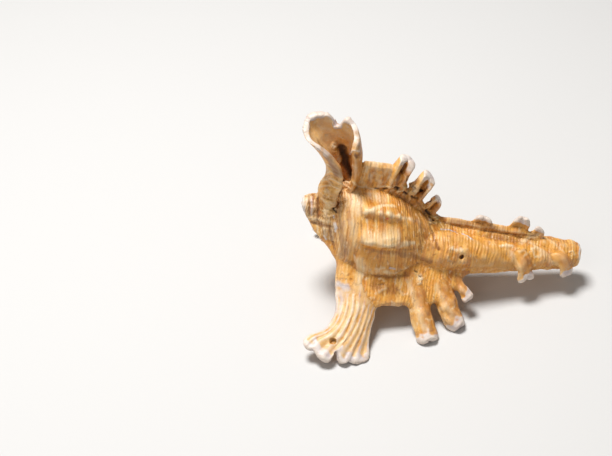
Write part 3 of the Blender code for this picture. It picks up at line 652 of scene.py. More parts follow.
def add_spine(forms, kind, varix, form, across_points=64, along_points=56):
    """A spine with its front and back, bent round to a groove, with its notches and ribs."""
    left, right = form["left"], form["right"]
    top = (left[-1],) + tuple(form.get("tip", ())) + (right[-1],)
    v = np.linspace(0.0, 1.0, along_points)[:, None]
    u = np.linspace(-1.0, 1.0, across_points)[None, :]
    ease = smooth_step(v)
    curl = np.radians(between(form["curl"], v ** form.get("opens", 1.0)))
    twist = np.radians(form.get("twist", 0.0) * (1.0 - ease))
    widest = np.sin(np.minimum(curl, 0.5 * math.pi))
    depth, behind = between(form["depth"], ease), between(form["back"], ease)
    bulb = TIP_BULB * np.exp(-(((v - 0.93) / 0.10) ** 2))
    half_wall = 0.5 * form["wall"] * (1.0 - TIP_THINNER * v + (bulb if varix is not VARIX_A else 0.0))
    low, high = curve(left, v[:, 0])[:, None, :], curve(right, v[:, 0])[:, None, :]
    reach = np.hypot(high[..., 0] - low[..., 0], high[..., 1] - low[..., 1])
    side = (high - low) / reach[..., None]
    half_width = 0.5 * reach - half_wall * widest
    middle = 0.5 * (low + high)
    turn = u * curl + twist
    across = half_width * np.sin(turn) / widest
    share = 0.5 + 0.5 * np.sin(turn) / widest
    end = curve(top, share)
    pull = smooth_step((v - TIP_FROM) / (1.0 - TIP_FROM))
    ends = np.array(left[-1]), np.array(right[-1])
    extra = end - (ends[0] + (ends[1] - ends[0]) * share[..., None])
    cut = 0 * u + sum(deep * np.exp(-(((u - at) / wide) ** 2)) for at, deep, wide in form.get("notches", ()))
    x = middle[..., 0] + across * side[..., 0] + extra[..., 0] * pull
    r = middle[..., 1] + across * side[..., 1] + extra[..., 1] * pull - cut * v ** 4
    w = depth * (1.0 - np.cos(turn)) - behind + lean_offset(varix, r)
    grooves = 0 * u + sum(np.exp(-(((u - at) / RIB_GROOVE_WIDE) ** 2)) for at in form.get("ribs", ()))
    grooves = RIB_GROOVE * grooves * smooth_step(2.5 * v)
    off_x, off_w = half_wall * np.sin(turn), -half_wall * np.cos(turn)
    back = place(x + off_x * side[..., 0], r + off_x * side[..., 1], varix["phi"], w + off_w + grooves)
    front = place(x - off_x * side[..., 0], r - off_x * side[..., 1], varix["phi"], w - off_w)
    rows = np.concatenate([front, back[:, ::-1]], axis=1)
    span = np.concatenate([u + 0 * v, (u + 0 * v)[:, ::-1]], axis=1)
    sides = np.concatenate([np.ones_like(front[..., 0]), -np.ones_like(back[..., 0])], axis=1)
    run = np.broadcast_to(v, span.shape)
    length = math.hypot(right[-1][0] - right[0][0], right[-1][1] - right[0][1])
    mean_width = float(half_width.mean())
    forms.add(kind, rows, span * mean_width, run * length, sides, span, run, strip_caps=True)


def add_web(forms, kind, varix, edge, station=0.5, steps=16):
    """The thin plate of a varix out to its free edge, with a station every so many millimetres."""
    first, last = edge[0][0], edge[-1][0]
    x = np.linspace(first, last, int((last - first) / station) + 1)[:, None]
    reach = np.interp(x, [p[0] for p in edge], [p[1] for p in edge])
    inner = np.minimum(1.0, reach - 0.6)
    outer = np.maximum(reach - WEB_EDGE, inner + 0.3)
    part = np.linspace(0.0, 1.0, steps + 1)[None, :]
    r = inner + (outer - inner) * part
    lean = lean_offset(varix, r)
    thick = (WEB_BACK + (WEB_EDGE - WEB_BACK) * part ** 1.5) * np.minimum(1.0, reach / 8.0)
    front = place(x, r, varix["phi"], lean + WEB_FRONT)
    back = place(x, r, varix["phi"], lean - thick)
    rim = place(x, reach, varix["phi"], lean_offset(varix, reach))
    rows = np.concatenate([front, rim, back[:, ::-1]], axis=1)
    radius = np.concatenate([r, reach, r[:, ::-1]], axis=1)
    sides = np.concatenate([np.ones_like(r), np.zeros_like(reach), -np.ones_like(r)], axis=1)
    run = np.concatenate([part + 0 * x, np.ones_like(reach), part[:, ::-1] + 0 * x], axis=1)
    forms.add(kind, rows, x + 0 * radius, radius, sides, 0.0, run)


def earlier(points, out):
    """The (x, r) of points of the lip's varix, as they were on the hidden one before it."""
    return tuple((C_START + x * C_ALONG, r * out) for x, r in points)


def earlier_spines():
    """The lip's spines, as they were on the hidden varix before it."""
    spines = []
    for number, form in enumerate(SPINES_B):
        smaller = dict(form)
        for key in ("left", "right", "tip"):
            smaller[key] = earlier(form.get(key, ()), C_OUT if number == 0 else C_SHORT_SPINES_OUT)
        spines.append(smaller)
    return spines


def shell_forms():
    """All the lofts that the shell is made of."""
    forms = Forms()
    add_whorls(forms)
    add_spindle(forms)
    add_canal_side(forms)
    add_ball(forms)
    varices = (("B", VARIX_B, WEB_B, SPINES_B), ("A", VARIX_A, WEB_A, SPINES_A),
               ("C", VARIX_C, earlier(WEB_B, C_OUT), earlier_spines()))
    for name, varix, web, _ in varices:
        add_web(forms, WEBS[name], varix, web)
    for name, varix, _, spines in varices:
        for number, form in enumerate(spines):
            add_spine(forms, SPINES[name] + number, varix, form)
    return forms


def cutter(name, rows):
    """A closed mesh through rings of points, facing outwards."""
    forms = Forms()
    forms.add(0, rows, 0.0, 0.0)
    data = forms.mesh(name)
    mesh = bmesh.new()
    mesh.from_mesh(data)
    bmesh.ops.triangulate(mesh, faces=[f for f in mesh.faces if len(f.verts) > 4])
    bmesh.ops.recalc_face_normals(mesh, faces=mesh.faces)
    mesh.to_mesh(data)
    mesh.free()
    return bpy.data.objects.new(name, data)


def mouth_cutter(steps=100, points=90):
    """The mouth's hollow, which winds back into the shell and gets smaller as the whorl does."""
    back = np.linspace(MOUTH_AHEAD, -MOUTH_DEPTH, steps + 1)[:, None]
    size = GROWTH_PER_TURN ** (back / 360.0)
    line = curve(MOUTH + (MOUTH[0],), np.arange(points) / points)[None]
    return cutter("mouth_hollow", place(size * line[..., 0], size * line[..., 1], LIP_PHI + back))


def slit_cutter(stations=60):
    """The narrow slit that the canal is open by."""
    part = np.arange(stations + 1)[:, None] / stations
    x = SLIT_START + (SLIT_END - SLIT_START) * part
    wide = 0.5 * SLIT_WIDTH * smooth_step(0.2 + 6.0 * part)
    r = np.array((SLIT_FLOOR, SLIT_FLOOR, SLIT_TOP, SLIT_TOP))[None]
    return cutter("canal_slit", place(x, r, SLIT_PHI, wide * np.array((-1.0, 1.0, 1.6, -1.6))))


def ground_cutter():
    """All that lies below the ground."""
    corners = np.array(((-1, -1), (1, -1), (1, 1), (-1, 1))) * 0.5 * GROUND_SIDE
    rows = [[(cx, cy, z) for cx, cy in corners] for z in (-GROUND_DEEP, 0.0)]
    return cutter("ground", np.array(rows) * MM)


def link(item):
    bpy.context.scene.collection.objects.link(item)


def applied(piece, *modifiers):
    """Gives the piece the mesh that these modifiers make of it, each a (type, settings) pair."""
    for kind, settings in modifiers:
        modifier = piece.modifiers.new(kind, kind)
        for key, value in settings.items():
            setattr(modifier, key, value)
    graph = bpy.context.evaluated_depsgraph_get()
    data = bpy.data.meshes.new_from_object(piece.evaluated_get(graph))
    piece.modifiers.clear()
    piece.data = data


def rows_of(items, key, width, kind=np.float32):
    """One row of numbers for each item of a mesh."""
    flat = np.empty(len(items) * width, kind)
    items.foreach_get(key, flat)
    return flat.reshape(-1, width)


def coordinates(data):
    return rows_of(data.vertices, "co", 3).astype(float)


def normals_of(data):
    return rows_of(data.vertex_normals, "vector", 3).astype(float)


def edges_of(data):
    return rows_of(data.edges, "vertices", 2, np.int32)


def move_points(data, points):
    """Moves the mesh's points to these places in millimetres."""
    data.vertices.foreach_set("co", (points * MM).astype(np.float32).reshape(-1))
    data.update()


def bore_cutter(number, at, direction, radius):
    """A round drill, from outside the surface to the bottom of the hole."""
    along = Vector(direction).normalized()
    rings = []
    side = along.orthogonal().normalized()
    up = along.cross(side)
    for reach, share in ((2.0, 1.15), (0.3, 1.12), (0.0, 1.0), (-BORE_DEEP, 0.9)):
        ring = []
        for i in range(BORE_SIDES):
            turn = 2.0 * math.pi * i / BORE_SIDES
            off = (side * math.cos(turn) + up * math.sin(turn)) * radius * share * MM
            ring.append(at + along * reach * MM + off)
        rings.append(ring)
    return cutter(f"bore_{number}", np.array(rings))


def mesh_tree(data):
    """A search tree of the mesh, with its points in millimetres."""
    data.calc_loop_triangles()
    corners = rows_of(data.loop_triangles, "vertices", 3, np.int32)
    return BVHTree.FromPolygons((coordinates(data) / MM).tolist(), corners.tolist())


def point_tree(places):
    """A search tree of points."""
    tree = KDTree(len(places))
    for index, at in enumerate(places.tolist()):
        tree.insert(at, index)
    tree.balance()
    return tree


def photo_ray(px, py):
    """The camera's place and the direction that a point of the photograph is seen in."""
    across = (px - 0.5 * PHOTO_WIDE) / PHOTO_WIDE * SENSOR / LENS
    up = (0.5 * PHOTO_HIGH - py) / PHOTO_WIDE * SENSOR / LENS
    down = math.radians(CAMERA_DOWN)
    ahead = Vector((0.0, math.cos(down), -math.sin(down)))
    upward = Vector((0.0, math.sin(down), math.cos(down)))
    return Vector(CAMERA_AT), (ahead + across * Vector((1.0, 0.0, 0.0)) + up * upward).normalized()


def seen_at(tree, px, py):
    """Where the surface is seen at this point of the photograph, and which way it faces, in millimetres."""
    start, direction = photo_ray(px, py)
    at, normal, _, _ = tree.ray_cast(start, direction)
    return at, normal


def fine_shell(forms):
    """The fused surface with its mouth, slit, ground and bore holes cut, and the mouth's own surface."""
    shell = bpy.data.objects.new("shell_surface", forms.mesh("shell_surface"))
    link(shell)
    applied(shell, ("REMESH", {"mode": "VOXEL", "voxel_size": VOXEL * MM}),
            ("SMOOTH", {"factor": 0.5, "iterations": 3}))
    tree = mesh_tree(shell.data)
    mouth = mouth_cutter()
    mouth_tree = mesh_tree(mouth.data)
    knives = [mouth, slit_cutter(), ground_cutter()]
    for number, (px, py) in enumerate(BORE_HOLES):
        at, normal = seen_at(tree, px, py)
        knives.append(bore_cutter(number, at * MM, normal, BORE_RADII[number]))
    for knife in knives:
        link(knife)
        applied(shell, ("BOOLEAN", {"operation": "DIFFERENCE", "solver": "MANIFOLD", "object": knife}))
        bpy.data.objects.remove(knife)
    return shell, mouth_tree


def facts_at(forms, points):
    """The forms' numbers at the nearest place of their surface, for each point given in millimetres."""
    quads = np.array([f for f in forms.faces if len(f) == 4])
    corners = np.concatenate([quads[:, [0, 1, 2]], quads[:, [0, 2, 3]]])
    places = np.concatenate(forms.points) / MM
    facts = np.concatenate(forms.facts)
    tree = BVHTree.FromPolygons(places.tolist(), corners.tolist())
    found = [tree.find_nearest(point)[::2] for point in points.tolist()]
    hit = np.array([at for at, _ in found])
    corner = corners[[index for _, index in found]]
    a, b, c = places[corner[:, 0]], places[corner[:, 1]], places[corner[:, 2]]
    ab, ac, ap = b - a, c - a, hit - a
    d00, d01, d11 = (ab * ab).sum(1), (ab * ac).sum(1), (ac * ac).sum(1)
    d20, d21 = (ap * ab).sum(1), (ap * ac).sum(1)
    scale = np.maximum(d00 * d11 - d01 * d01, 1e-12)
    share_b = np.clip((d11 * d20 - d01 * d21) / scale, 0.0, 1.0)
    share_c = np.clip((d00 * d21 - d01 * d20) / scale, 0.0, 1.0)
    share_a = 1.0 - share_b - share_c
    result = (facts[corner[:, 0]] * share_a[:, None] + facts[corner[:, 1]] * share_b[:, None]
              + facts[corner[:, 2]] * share_c[:, None])
    result[:, 0] = facts[corner[:, 0], 0]
    return result


def averaged(values, edges, times):
    """Values at the points, each made the mean of its neighbours this many times."""
    a, b = edges.T
    size = len(values)
    count = np.maximum(np.bincount(a, minlength=size) + np.bincount(b, minlength=size), 1)
    for _ in range(times):
        values = (np.bincount(a, values[b], size) + np.bincount(b, values[a], size)) / count
    return values


def bend_of(points, normals, edges):
    """How hollow the surface is at each point, below 0 where it is crowned, over about a millimetre."""
    middle = np.stack([averaged(points[:, axis], edges, BEND_REACH) for axis in range(3)], axis=1)
    return averaged(((middle - points) * normals).sum(1), edges, 2)


def rounded_corners(points, edges, kind, v):
    """The points with the corners rounded where the lip's varices and their spines meet the whorls."""
    lip_side = (kind == WEBS["B"]) | (kind == WEBS["C"]) | (kind >= SPINES["B"])
    first, second = kind[edges[:, 0]], kind[edges[:, 1]]
    meets = (first != second) & (lip_side[edges[:, 0]] | lip_side[edges[:, 1]])
    corners = np.unique(edges[meets])
    tree = point_tree(points[corners])
    apart = np.array([tree.find(point)[2] for point in points.tolist()])
    share = FILLET_PULL * smooth_step(1.0 - apart / FILLET)
    near_tip = smooth_step((v - 0.86) / 0.1)
    share = np.maximum(share, np.where(kind >= SPINES["B"], TIP_SOFT * near_tip, 0.0))
    hooked = (kind > SPINES["A"]) & (kind < SPINES["B"])
    share = np.maximum(share, np.where(hooked, HOOKED_SOFT, 0.0))[:, None]
    inner = np.flatnonzero(share > 0.0)
    used = (share[edges, 0] > 0.0).any(1)
    a, b = edges[used].T
    size = len(points)
    count = np.maximum(np.bincount(a, minlength=size) + np.bincount(b, minlength=size), 1)[:, None]
    for _ in range(FILLET_STEPS):
        total = np.stack([np.bincount(a, points[b, axis], size) + np.bincount(b, points[a, axis], size)
                          for axis in range(3)], axis=1)
        points[inner] += share[inner] * (total[inner] / count[inner] - points[inner])
    return points


def thread_place(x, back):
    """The place across the threads of a point of a web or of the canal, counted on the whorl beside it."""
    line = curve(WHORL_OUTLINE, np.linspace(0.0, 1.0, 400))
    length = np.concatenate([[0.0], np.cumsum(np.hypot(*np.diff(line, axis=0).T))])
    at = x / GROWTH_PER_TURN ** (back / 360.0)
    beyond = np.minimum(at - line[0, 0], 0.0) + np.maximum(at - line[-1, 0], 0.0)
    return np.interp(at, line[:, 0], length) + beyond


def waves(points, size, seed, count=14):
    """A smooth random field over points in millimetres, mostly within -1 to 1, with lumps of this size."""
    draw = np.random.default_rng(seed)
    directions = draw.normal(size=(count, 3))
    directions /= np.linalg.norm(directions, axis=1)[:, None]
    lengths = size * draw.uniform(0.7, 1.7, count)
    phases = draw.uniform(0.0, 2.0 * math.pi, count)
    turns = points @ (directions / lengths[:, None]).T * 2.0 * math.pi + phases
    return np.sin(turns).sum(1) / math.sqrt(count)


def bell(value, middle, wide):
    """1 at the middle, falling away smoothly on both sides."""
    return np.exp(-(((value - middle) / wide) ** 2))


def stroke_share(points, tree, line, width):
    """How much of a stroke drawn over the photograph lies on each point: 1 on it, 0 beyond its width."""
    places = []
    for (x0, y0), (x1, y1) in zip(line, line[1:]):
        count = max(1, int(2.0 * math.hypot(x1 - x0, y1 - y0)))
        for i in range(count + 1):
            at, _ = seen_at(tree, x0 + (x1 - x0) * i / count, y0 + (y1 - y0) * i / count)
            if at is not None:
                places.append(at)
    places = np.array(places)
    low, high = places.min(0) - width, places.max(0) + width
    near = np.flatnonzero(((points > low) & (points < high)).all(1))
    best = np.full(len(near), np.inf)
    for group in np.array_split(places, len(places) // 40 + 1):
        apart = np.linalg.norm(points[near][:, None] - group[None], axis=2).min(1)
        best = np.minimum(best, apart)
    reach = width * (1.0 + STROKE_UNEVEN * waves(points[near], max(1.6, 1.5 * width), STROKE_SEED))
    share = np.zeros(len(points))
    share[near] = smooth_step((reach - best) / (0.95 * reach))
    return share


def ridge_share(phi, x, ahead, wide):
    """How much a point of the last whorl belongs to the line that runs ahead degrees past a ridge's crest."""
    along = smooth_step((x - 16.0) / 3.0) * smooth_step((38.0 - x) / 5.0)
    share = 0.0
    for centre, _ in RIDGES:
        share = share + bell((phi - centre + 180.0) % 360.0 - 180.0, ahead, wide)
    return share * along


def coloured(points, facts, tree, mouth_tree):
    """The masks that the material mixes its colours by, the height of the small relief in millimetres, and
    the place across the threads."""
    kind, across, along, side, u, v = facts.T
    x, r, phi = shell_numbers(points * MM)
    rough = waves(points, *ROUGH)
    fine = waves(points, *FINE)
    broad = waves(points, *BROAD)
    whorl = kind == WHORL
    spine = kind >= SPINES["A"]
    web = (kind > WHORL) & ~spine
    on_b = (kind >= SPINES["B"]) & (kind < SPINES["C"])
    on_a = (kind >= SPINES["A"]) & (kind < SPINES["B"])
    on_a_canal = on_a & (kind >= SPINES["A"] + 4)
    large_lip = (kind == SPINES["B"]) | (kind == SPINES["C"])
    trumpet = kind == SPINES["A"]
    last = whorl & (phi > 4.0) & (phi < 124.0) & (x > LAST_WHORL_FROM)
    mask = {name: np.zeros(len(points)) for name in MASKS}
    height = np.zeros(len(points))

    # Threads along the growth, with a stronger cord every third one
    fanned = FAN_MIDDLE + (x - FAN_MIDDLE) / (1.0 + FAN * np.maximum(r - FAN_BEYOND, 0.0))
    for name, back in WEB_THREADS_BACK.items():
        across = np.where(kind == WEBS[name], thread_place(fanned if name == "A" else x, back), across)
    across = np.where(whorl & (x > CANAL_THREADS_FROM), thread_place(x, 0.0), across)
    across = across + THREAD_WANDER * waves(points, *WANDER)
    thread = np.cos(2.0 * math.pi * across / THREAD_GAP)
    cord = np.cos(2.0 * math.pi * across / (3.0 * THREAD_GAP) + 0.6)
    plain = np.select([large_lip, on_b, web, spine], THREADS_ON, 1.0)
    height += plain * THREAD_HEIGHT * thread * np.clip(0.6 + 0.5 * rough + 0.3 * fine, 0.0, 1.4)
    height += np.where(whorl, THREAD_HEIGHT * cord, 0.0)
    canal = smooth_step((x - CANAL_FROM) / 6.0)
    height += CANAL_RELIEF * canal * waves(points, *CANAL_LUMPS) + ALL_RELIEF * waves(points, *ALL_LUMPS)
    mask["lines"] = np.where(large_lip, 0.5, 1.0) * (0.6 + 0.3 * broad)

    # Tips, rims and free edges are worn white
    worn_from = np.select([large_lip, on_a_canal, on_a], WORN_FROM, WORN_FROM_ELSE)
    tip = smooth_step((v - worn_from + 0.05 * rough) / 0.14) * spine
    tip = np.where(trumpet, smooth_step((v - WORN_TRUMPET + 0.03 * rough) / 0.06), tip)
    rim = smooth_step((np.abs(u) - 0.89 + 0.04 * rough) / 0.10) * spine
    rim_from = np.where(trumpet, np.where(u > 0.0, 0.66, 0.50), 0.5)
    rim_white = np.where(trumpet, 0.75 + 0.2 * rough, 0.7) * smooth_step((v - rim_from) / 0.25)
    mask["white"] = np.maximum(tip, rim * np.where(on_a, rim_white, 0.0))
    height += TIP_RELIEF * tip

    # The large lip spine: cream crests with ochre in its grooves
    groove = np.max([bell(u, at, 0.075) for at in SPINES_B[0]["ribs"]], axis=0)
    lip_back = large_lip & (side < 0.5)
    mask["cream"] = np.where(lip_back, smooth_step(v / 0.30) * (0.55 - 0.25 * smooth_step(rough)), 0.0)
    in_grooves = groove * (0.85 + 0.3 * broad) * (1.0 - 0.9 * tip) * smooth_step(v / 0.2)
    mask["ochre"] = np.where(lip_back, in_grooves, 0.0)
    crests = (1.0 - groove) * (0.60 + 0.12 * rough) + 0.1 * smooth_step((-0.5 - u) / 0.3)
    crests = np.maximum(mask["white"], crests * smooth_step(v / 0.3))
    mask["white"] = np.where(lip_back, crests, mask["white"])

    # Inside the grooves of the upper spines the shell is golden, and deeper down brown
    inner = spine & (side > 0.0)
    mask["ochre"] = np.where(inner, (1.0 - rim) * (1.0 - tip) * np.where(trumpet, 0.22, 0.9), mask["ochre"])
    mask["cream"] = np.where(inner & trumpet, (1.0 - rim) * smooth_step((v - 0.3) / 0.3) * 0.5, mask["cream"])
    mask["brown"] = np.where(inner & on_a, (1.0 - rim) * smooth_step((0.45 - v) / 0.4) * 0.6, 0.0)

    # The short spines of the lip are browner, and the plate of the upper varix is paler
    short_b = on_b & ~large_lip & (x < SHORT_SPINES_END)
    mask["brown"] = np.where(short_b, 0.32 * (1.0 - tip), mask["brown"])
    plate = (kind == WEBS["A"]) & (x < PLATE_END)
    mask["cream"] = np.where(plate, np.clip(0.35 + 0.25 * rough, 0.0, 1.0), mask["cream"])

    # Ridges of the last whorl: pale crests, and brown below them as painted shade under each crest
    crest = ridge_share(phi, x, -2.0, 4.0) * last
    mask["cream"] = np.maximum(mask["cream"], crest * (0.55 + 0.35 * rough))
    mask["brown"] = np.maximum(mask["brown"], 0.28 * ridge_share(phi, x, 6.5, 3.2) * last)
    height += CREST_RELIEF * crest * (cord + 0.6 * rough)

    # The spire is striped and lumpy
    spire = whorl * smooth_step((SPIRE_END - x) / 3.0)
    mask["stripes"] = np.maximum(spire, np.where(last, 0.5 * smooth_step((STRIPES_END - x) / 4.0), 0.0))
    height += spire * (SPIRE_RELIEF * rough + SPIRE_GRAIN * fine)

    # The mouth's inside is smooth and pale
    inside = np.array([mouth_tree.find_nearest(p, INSIDE_NEAR)[3] is not None for p in points.tolist()])
    for name in mask:
        mask[name][inside] = 0.0
    mask["porcelain"] = inside * 1.0
    height[inside] = 0.0

    # Marks are laid on in their order. Golden isn't a mask, but clears the ones that darken or whiten.
    cleared = {"golden": ("brown", "dark", "white", "cream"), "white": ("brown", "dark", "ochre")}
    for name, width, strength, lift, *line in MARKS:
        share = stroke_share(points, tree, line, width)
        patch = share * strength
        for other in cleared.get(name, ()):
            mask[other] *= 1.0 - patch
        if name in mask:
            mask[name] = np.maximum(mask[name], patch)
        height += lift * share * (1.0 + (0.5 * fine if name == "crust" else 0.0))
    return mask, height, across


def nearest_rows(places, table, points):
    """For each point the table's row of the nearest of the places."""
    tree = point_tree(places)
    return table[[tree.find(point)[1] for point in points.tolist()]]


class Nodes:
    """Short ways to add the nodes that the material is mixed with."""

    def __init__(self, material):
        self.tree = material.node_tree

    def put(self, kind, **settings):
        node = self.tree.nodes.new(kind)
        for key, value in settings.items():
            setattr(node, key, value)
        return node

    def give(self, socket, value):
        if isinstance(value, bpy.types.NodeSocket):
            self.tree.links.new(value, socket)
        else:
            socket.default_value = value

    def attribute(self, name):
        return self.put("ShaderNodeAttribute", attribute_name=name).outputs["Fac"]

    def math(self, operation, *values):
        node = self.put("ShaderNodeMath", operation=operation)
        for socket, value in zip(node.inputs, values):
            self.give(socket, value)
        return node.outputs[0]

    def times(self, first, second):
        return self.math("MULTIPLY", first, second)

    def scaled(self, value, by, plus):
        return self.math("MULTIPLY_ADD", value, by, plus)

    def vector(self, *values):
        node = self.put("ShaderNodeCombineXYZ")
        for socket, value in zip(node.inputs, values):
            self.give(socket, value)
        return node.outputs[0]

    def noise(self, vector, scale, detail=3.0, rough=0.6):
        node = self.put("ShaderNodeTexNoise")
        for name, value in (("Vector", vector), ("Scale", scale), ("Detail", detail), ("Roughness", rough)):
            self.give(node.inputs[name], value)
        return node.outputs["Fac"]

    def step(self, value, low, high, to=1.0):
        """Rises smoothly from 0 to the value to, between low and high."""
        node = self.put("ShaderNodeMapRange", interpolation_type="SMOOTHSTEP", clamp=True)
        for name, given in (("Value", value), ("From Min", low), ("From Max", high), ("To Max", to)):
            self.give(node.inputs[name], given)
        return node.outputs["Result"]

    def mix(self, share, first, second):
        """The first colour, with this share of the second laid over it."""
        node = self.put("ShaderNodeMix", data_type="RGBA")
        for socket, value in zip((node.inputs[0], node.inputs[6], node.inputs[7]), (share, first, second)):
            self.give(socket, value)
        return node.outputs[2]

    def ramp(self, value, *stops):
        node = self.put("ShaderNodeValToRGB")
        elements = node.color_ramp.elements
        while len(elements) < len(stops):
            elements.new(0.5)
        for element, (at, colour) in zip(elements, stops):
            element.position = at
            element.color = colour
        self.give(node.inputs["Fac"], value)
        return node.outputs["Color"]


def shell_material():
    """Streaks and threads along the growth, over which the masks lay the shell's other colours."""
    material = bpy.data.materials.new("shell")
    material.use_nodes = True
    n = Nodes(material)
    surface = material.node_tree.nodes["Principled BSDF"]
    across, along = n.attribute("across"), n.attribute("along")
    share = {name: n.attribute(name) for name in MASKS}
    place_at = n.put("ShaderNodeTexCoord").outputs["Object"]

    streak = n.noise(n.vector(across, n.times(along, 0.10), 0.0), 0.42, 4.0, 0.62)
    fine = n.noise(n.vector(across, n.times(along, 0.16), 5.0), 1.7)
    bands = n.noise(n.vector(n.times(across, 0.15), along, 9.0), 0.7)
    flecks = n.noise(n.vector(n.times(across, 0.9), n.times(along, 0.45), 3.0), 1.1)
    lumps = n.noise(place_at, 260.0, 4.0)
    speckle = n.noise(place_at, 620.0)
    grain = n.noise(place_at, 1500.0)
    thread = n.scaled(n.math("COSINE", n.times(across, 2.0 * math.pi / THREAD_GAP)), -0.5, 0.5)

    def worn(name, spread=0.8, soft=0.4):
        """A mask with its edge broken up by the flecks."""
        uneven = n.times(n.math("SUBTRACT", flecks, 0.5), spread)
        value = n.math("ADD", share[name], n.times(uneven, n.step(share[name], 0.0, 0.3)))
        return n.step(value, 0.5 - soft, 0.5 + soft)

    tone = n.math("ADD", n.scaled(bands, 0.25, -0.125), streak)
    lines = n.times(n.step(n.scaled(thread, 0.35, fine), 0.62, 0.88), share["lines"])
    stripes = n.mix(n.step(fine, 0.42, 0.56), BROWN, CREAM)
    stripes = n.mix(n.step(fine, 0.58, 0.68), stripes, WHITE)
    colour = n.ramp(tone, (0.36, AMBER), (0.49, GOLD), (0.60, SAND), (0.74, CREAM))
    layers = (
        (n.times(lines, 0.30), BROWN),
        (n.step(flecks, 0.52, 0.70, 0.6), AMBER),
        (n.step(flecks, 0.44, 0.28, 0.6), PALE),
        (n.step(speckle, 0.54, 0.70, 0.55), BROWN),
        (n.step(speckle, 0.42, 0.28, 0.35), CREAM),
        (n.times(share["stripes"], 0.6), stripes),
        (worn("ochre"), n.mix(fine, OCHRE, AMBER)),
        (n.times(worn("cream"), 0.85), n.mix(n.step(fine, 0.35, 0.75), PALE, CREAM)),
        (n.times(worn("brown"), 0.85), n.mix(fine, BROWN, DEEP_BROWN)),
        (worn("crust", 1.0, 0.3), n.ramp(lumps, (0.38, DEEP_BROWN), (0.48, OCHRE), (0.62, PALE))),
        # Worn white, with lilac painted shade in patches
        (worn("white", 0.5, 0.35), n.mix(n.step(lumps, 0.40, 0.66), LILAC_SHADE, WHITE)),
        (share["porcelain"], n.mix(n.step(lumps, 0.3, 0.7), SHELL_PINK, WHITE)),
        # Painted shade: pits, hollows and hole floors are laid on near black
        (worn("dark", 0.5, 0.4), PIT_SHADE),
        # Painted shade: the floor of a bore hole
        (share["olive"], OLIVE_SHADE),
        (n.times(share["crown"], 0.35), PALE),
        # Painted shade: the hollows of the surface are darkened brown
        (n.times(share["hollow"], 0.11), BROWN),
        (share["pink"], STAIN),
    )
    for part, paint in layers:
        colour = n.mix(part, colour, paint)
    n.give(surface.inputs["Base Color"], colour)

    rough = n.scaled(lumps, ROUGHNESS_LUMPS, ROUGHNESS)
    for name, rougher in (("crust", 0.3), ("dark", 0.3), ("porcelain", -0.2)):
        rough = n.scaled(share[name], rougher, rough)
    n.give(surface.inputs["Roughness"], rough)
    surface.inputs["IOR"].default_value = SHELL_IOR

    low = n.scaled(fine, 0.5, n.times(thread, n.times(share["lines"], -0.22)))
    for value, by in ((grain, 0.30), (n.times(share["crust"], lumps), 2.0), (bands, 0.25)):
        low = n.scaled(value, by, low)
    bump = n.put("ShaderNodeBump")
    bump.inputs["Strength"].default_value = BUMP_STRENGTH
    bump.inputs["Distance"].default_value = BUMP_HEIGHT * MM
    n.give(bump.inputs["Height"], low)
    n.give(surface.inputs["Normal"], bump.outputs["Normal"])
    return material


def camera():
    """The photograph's camera."""
    data = bpy.data.cameras.new("camera")
    data.lens = LENS
    data.sensor_width = SENSOR
    data.clip_end = CLIP_END
    view = bpy.data.objects.new("camera", data)
    view.location = Vector(CAMERA_AT) * MM
    view.rotation_euler = (math.radians(90.0 - CAMERA_DOWN), 0.0, 0.0)
    link(view)
    bpy.context.scene.camera = view


def area_light(name, at, size, power):
    """A round soft light that faces the shell."""
    data = bpy.data.lights.new(name, "AREA")
    data.shape = "DISK"
    data.size = size
    data.energy = power
    lamp = bpy.data.objects.new(name, data)
    lamp.location = at
    lamp.rotation_euler = (Vector(LIGHT_AIM) - Vector(at)).to_track_quat("-Z", "Y").to_euler()
    link(lamp)


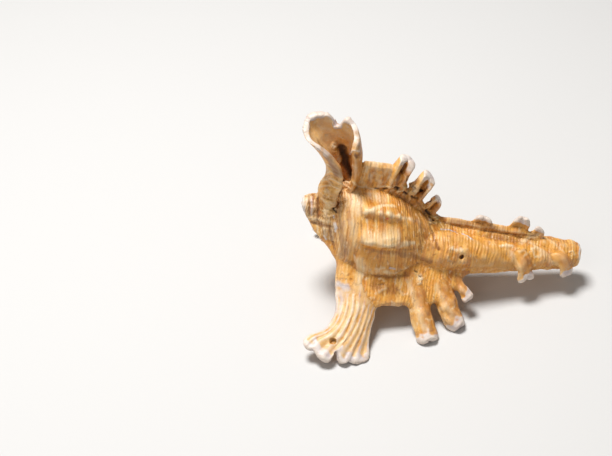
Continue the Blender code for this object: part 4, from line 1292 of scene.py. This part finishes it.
def studio():
    """The plain floor, the lights and the pale surroundings."""
    mesh = bpy.data.meshes.new("floor")
    corners = [(x * FLOOR_REACH, y * FLOOR_REACH, 0.0) for x, y in ((-1, -1), (1, -1), (1, 1), (-1, 1))]
    mesh.from_pydata(corners, [], [(0, 1, 2, 3)])
    floor = bpy.data.objects.new("floor", mesh)
    link(floor)
    material = bpy.data.materials.new("floor")
    material.use_nodes = True
    surface = material.node_tree.nodes["Principled BSDF"]
    surface.inputs["Base Color"].default_value = FLOOR_COLOUR
    surface.inputs["Roughness"].default_value = FLOOR_ROUGHNESS
    mesh.materials.append(material)
    for light in LIGHTS:
        area_light(*light)
    world = bpy.data.worlds.new("world")
    world.use_nodes = True
    background = world.node_tree.nodes["Background"]
    background.inputs["Color"].default_value = WORLD_COLOUR
    background.inputs["Strength"].default_value = WORLD_STRENGTH
    bpy.context.scene.world = world
    bpy.context.scene.view_settings.view_transform = "Standard"


def relief(data, points, height):
    """Moves the mesh out by the small relief, but not where it rests, and returns its points."""
    moved = points + normals_of(data) * np.clip(height, *RELIEF_LIMITS)[:, None]
    grounded = points[:, 2] < GROUND_KEPT
    moved[grounded] = points[grounded]
    moved[:, 2] = np.maximum(moved[:, 2], 0.0)
    move_points(data, moved)
    return moved


def main():
    forms = shell_forms()
    shell, mouth_tree = fine_shell(forms)
    points = coordinates(shell.data) / MM
    edges = edges_of(shell.data)
    facts = facts_at(forms, points)
    kind, along, v = facts[:, 0], facts[:, 2], facts[:, 5]
    points = rounded_corners(points, edges, kind, v)
    move_points(shell.data, points)
    mask, height, across = coloured(points, facts, mesh_tree(shell.data), mouth_tree)
    points = relief(shell.data, points, height)
    bend = bend_of(points, normals_of(shell.data), edges) / BEND_FULL
    # Painted shade: each hollow gets a brown share by how hollow it is
    mask["hollow"] = np.clip(bend, 0.0, 1.0) * np.where(kind == SPINES["A"], TRUMPET_HOLLOW_SHADE, 1.0)
    mask["crown"] = np.clip(-bend, 0.0, 1.0)

    # The mesh is made coarser, and each point left takes the numbers of the one nearest to it
    shell.data.calc_loop_triangles()
    applied(shell, ("DECIMATE", {"ratio": TRIANGLES / len(shell.data.loop_triangles),
                                 "use_collapse_triangulate": True}))
    table = np.stack([across, along] + [mask[name] for name in MASKS], axis=1)
    kept = nearest_rows(points, table, coordinates(shell.data) / MM)
    for column, name in enumerate(("across", "along") + MASKS):
        attribute = shell.data.attributes.new(name, "FLOAT", "POINT")
        attribute.data.foreach_set("value", kept[:, column].astype(np.float32))
    shell.data.shade_smooth()
    shell.data.materials.clear()
    shell.data.materials.append(shell_material())
    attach(shell, "root")
    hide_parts("murex_shell")
    studio()
    camera()


main()
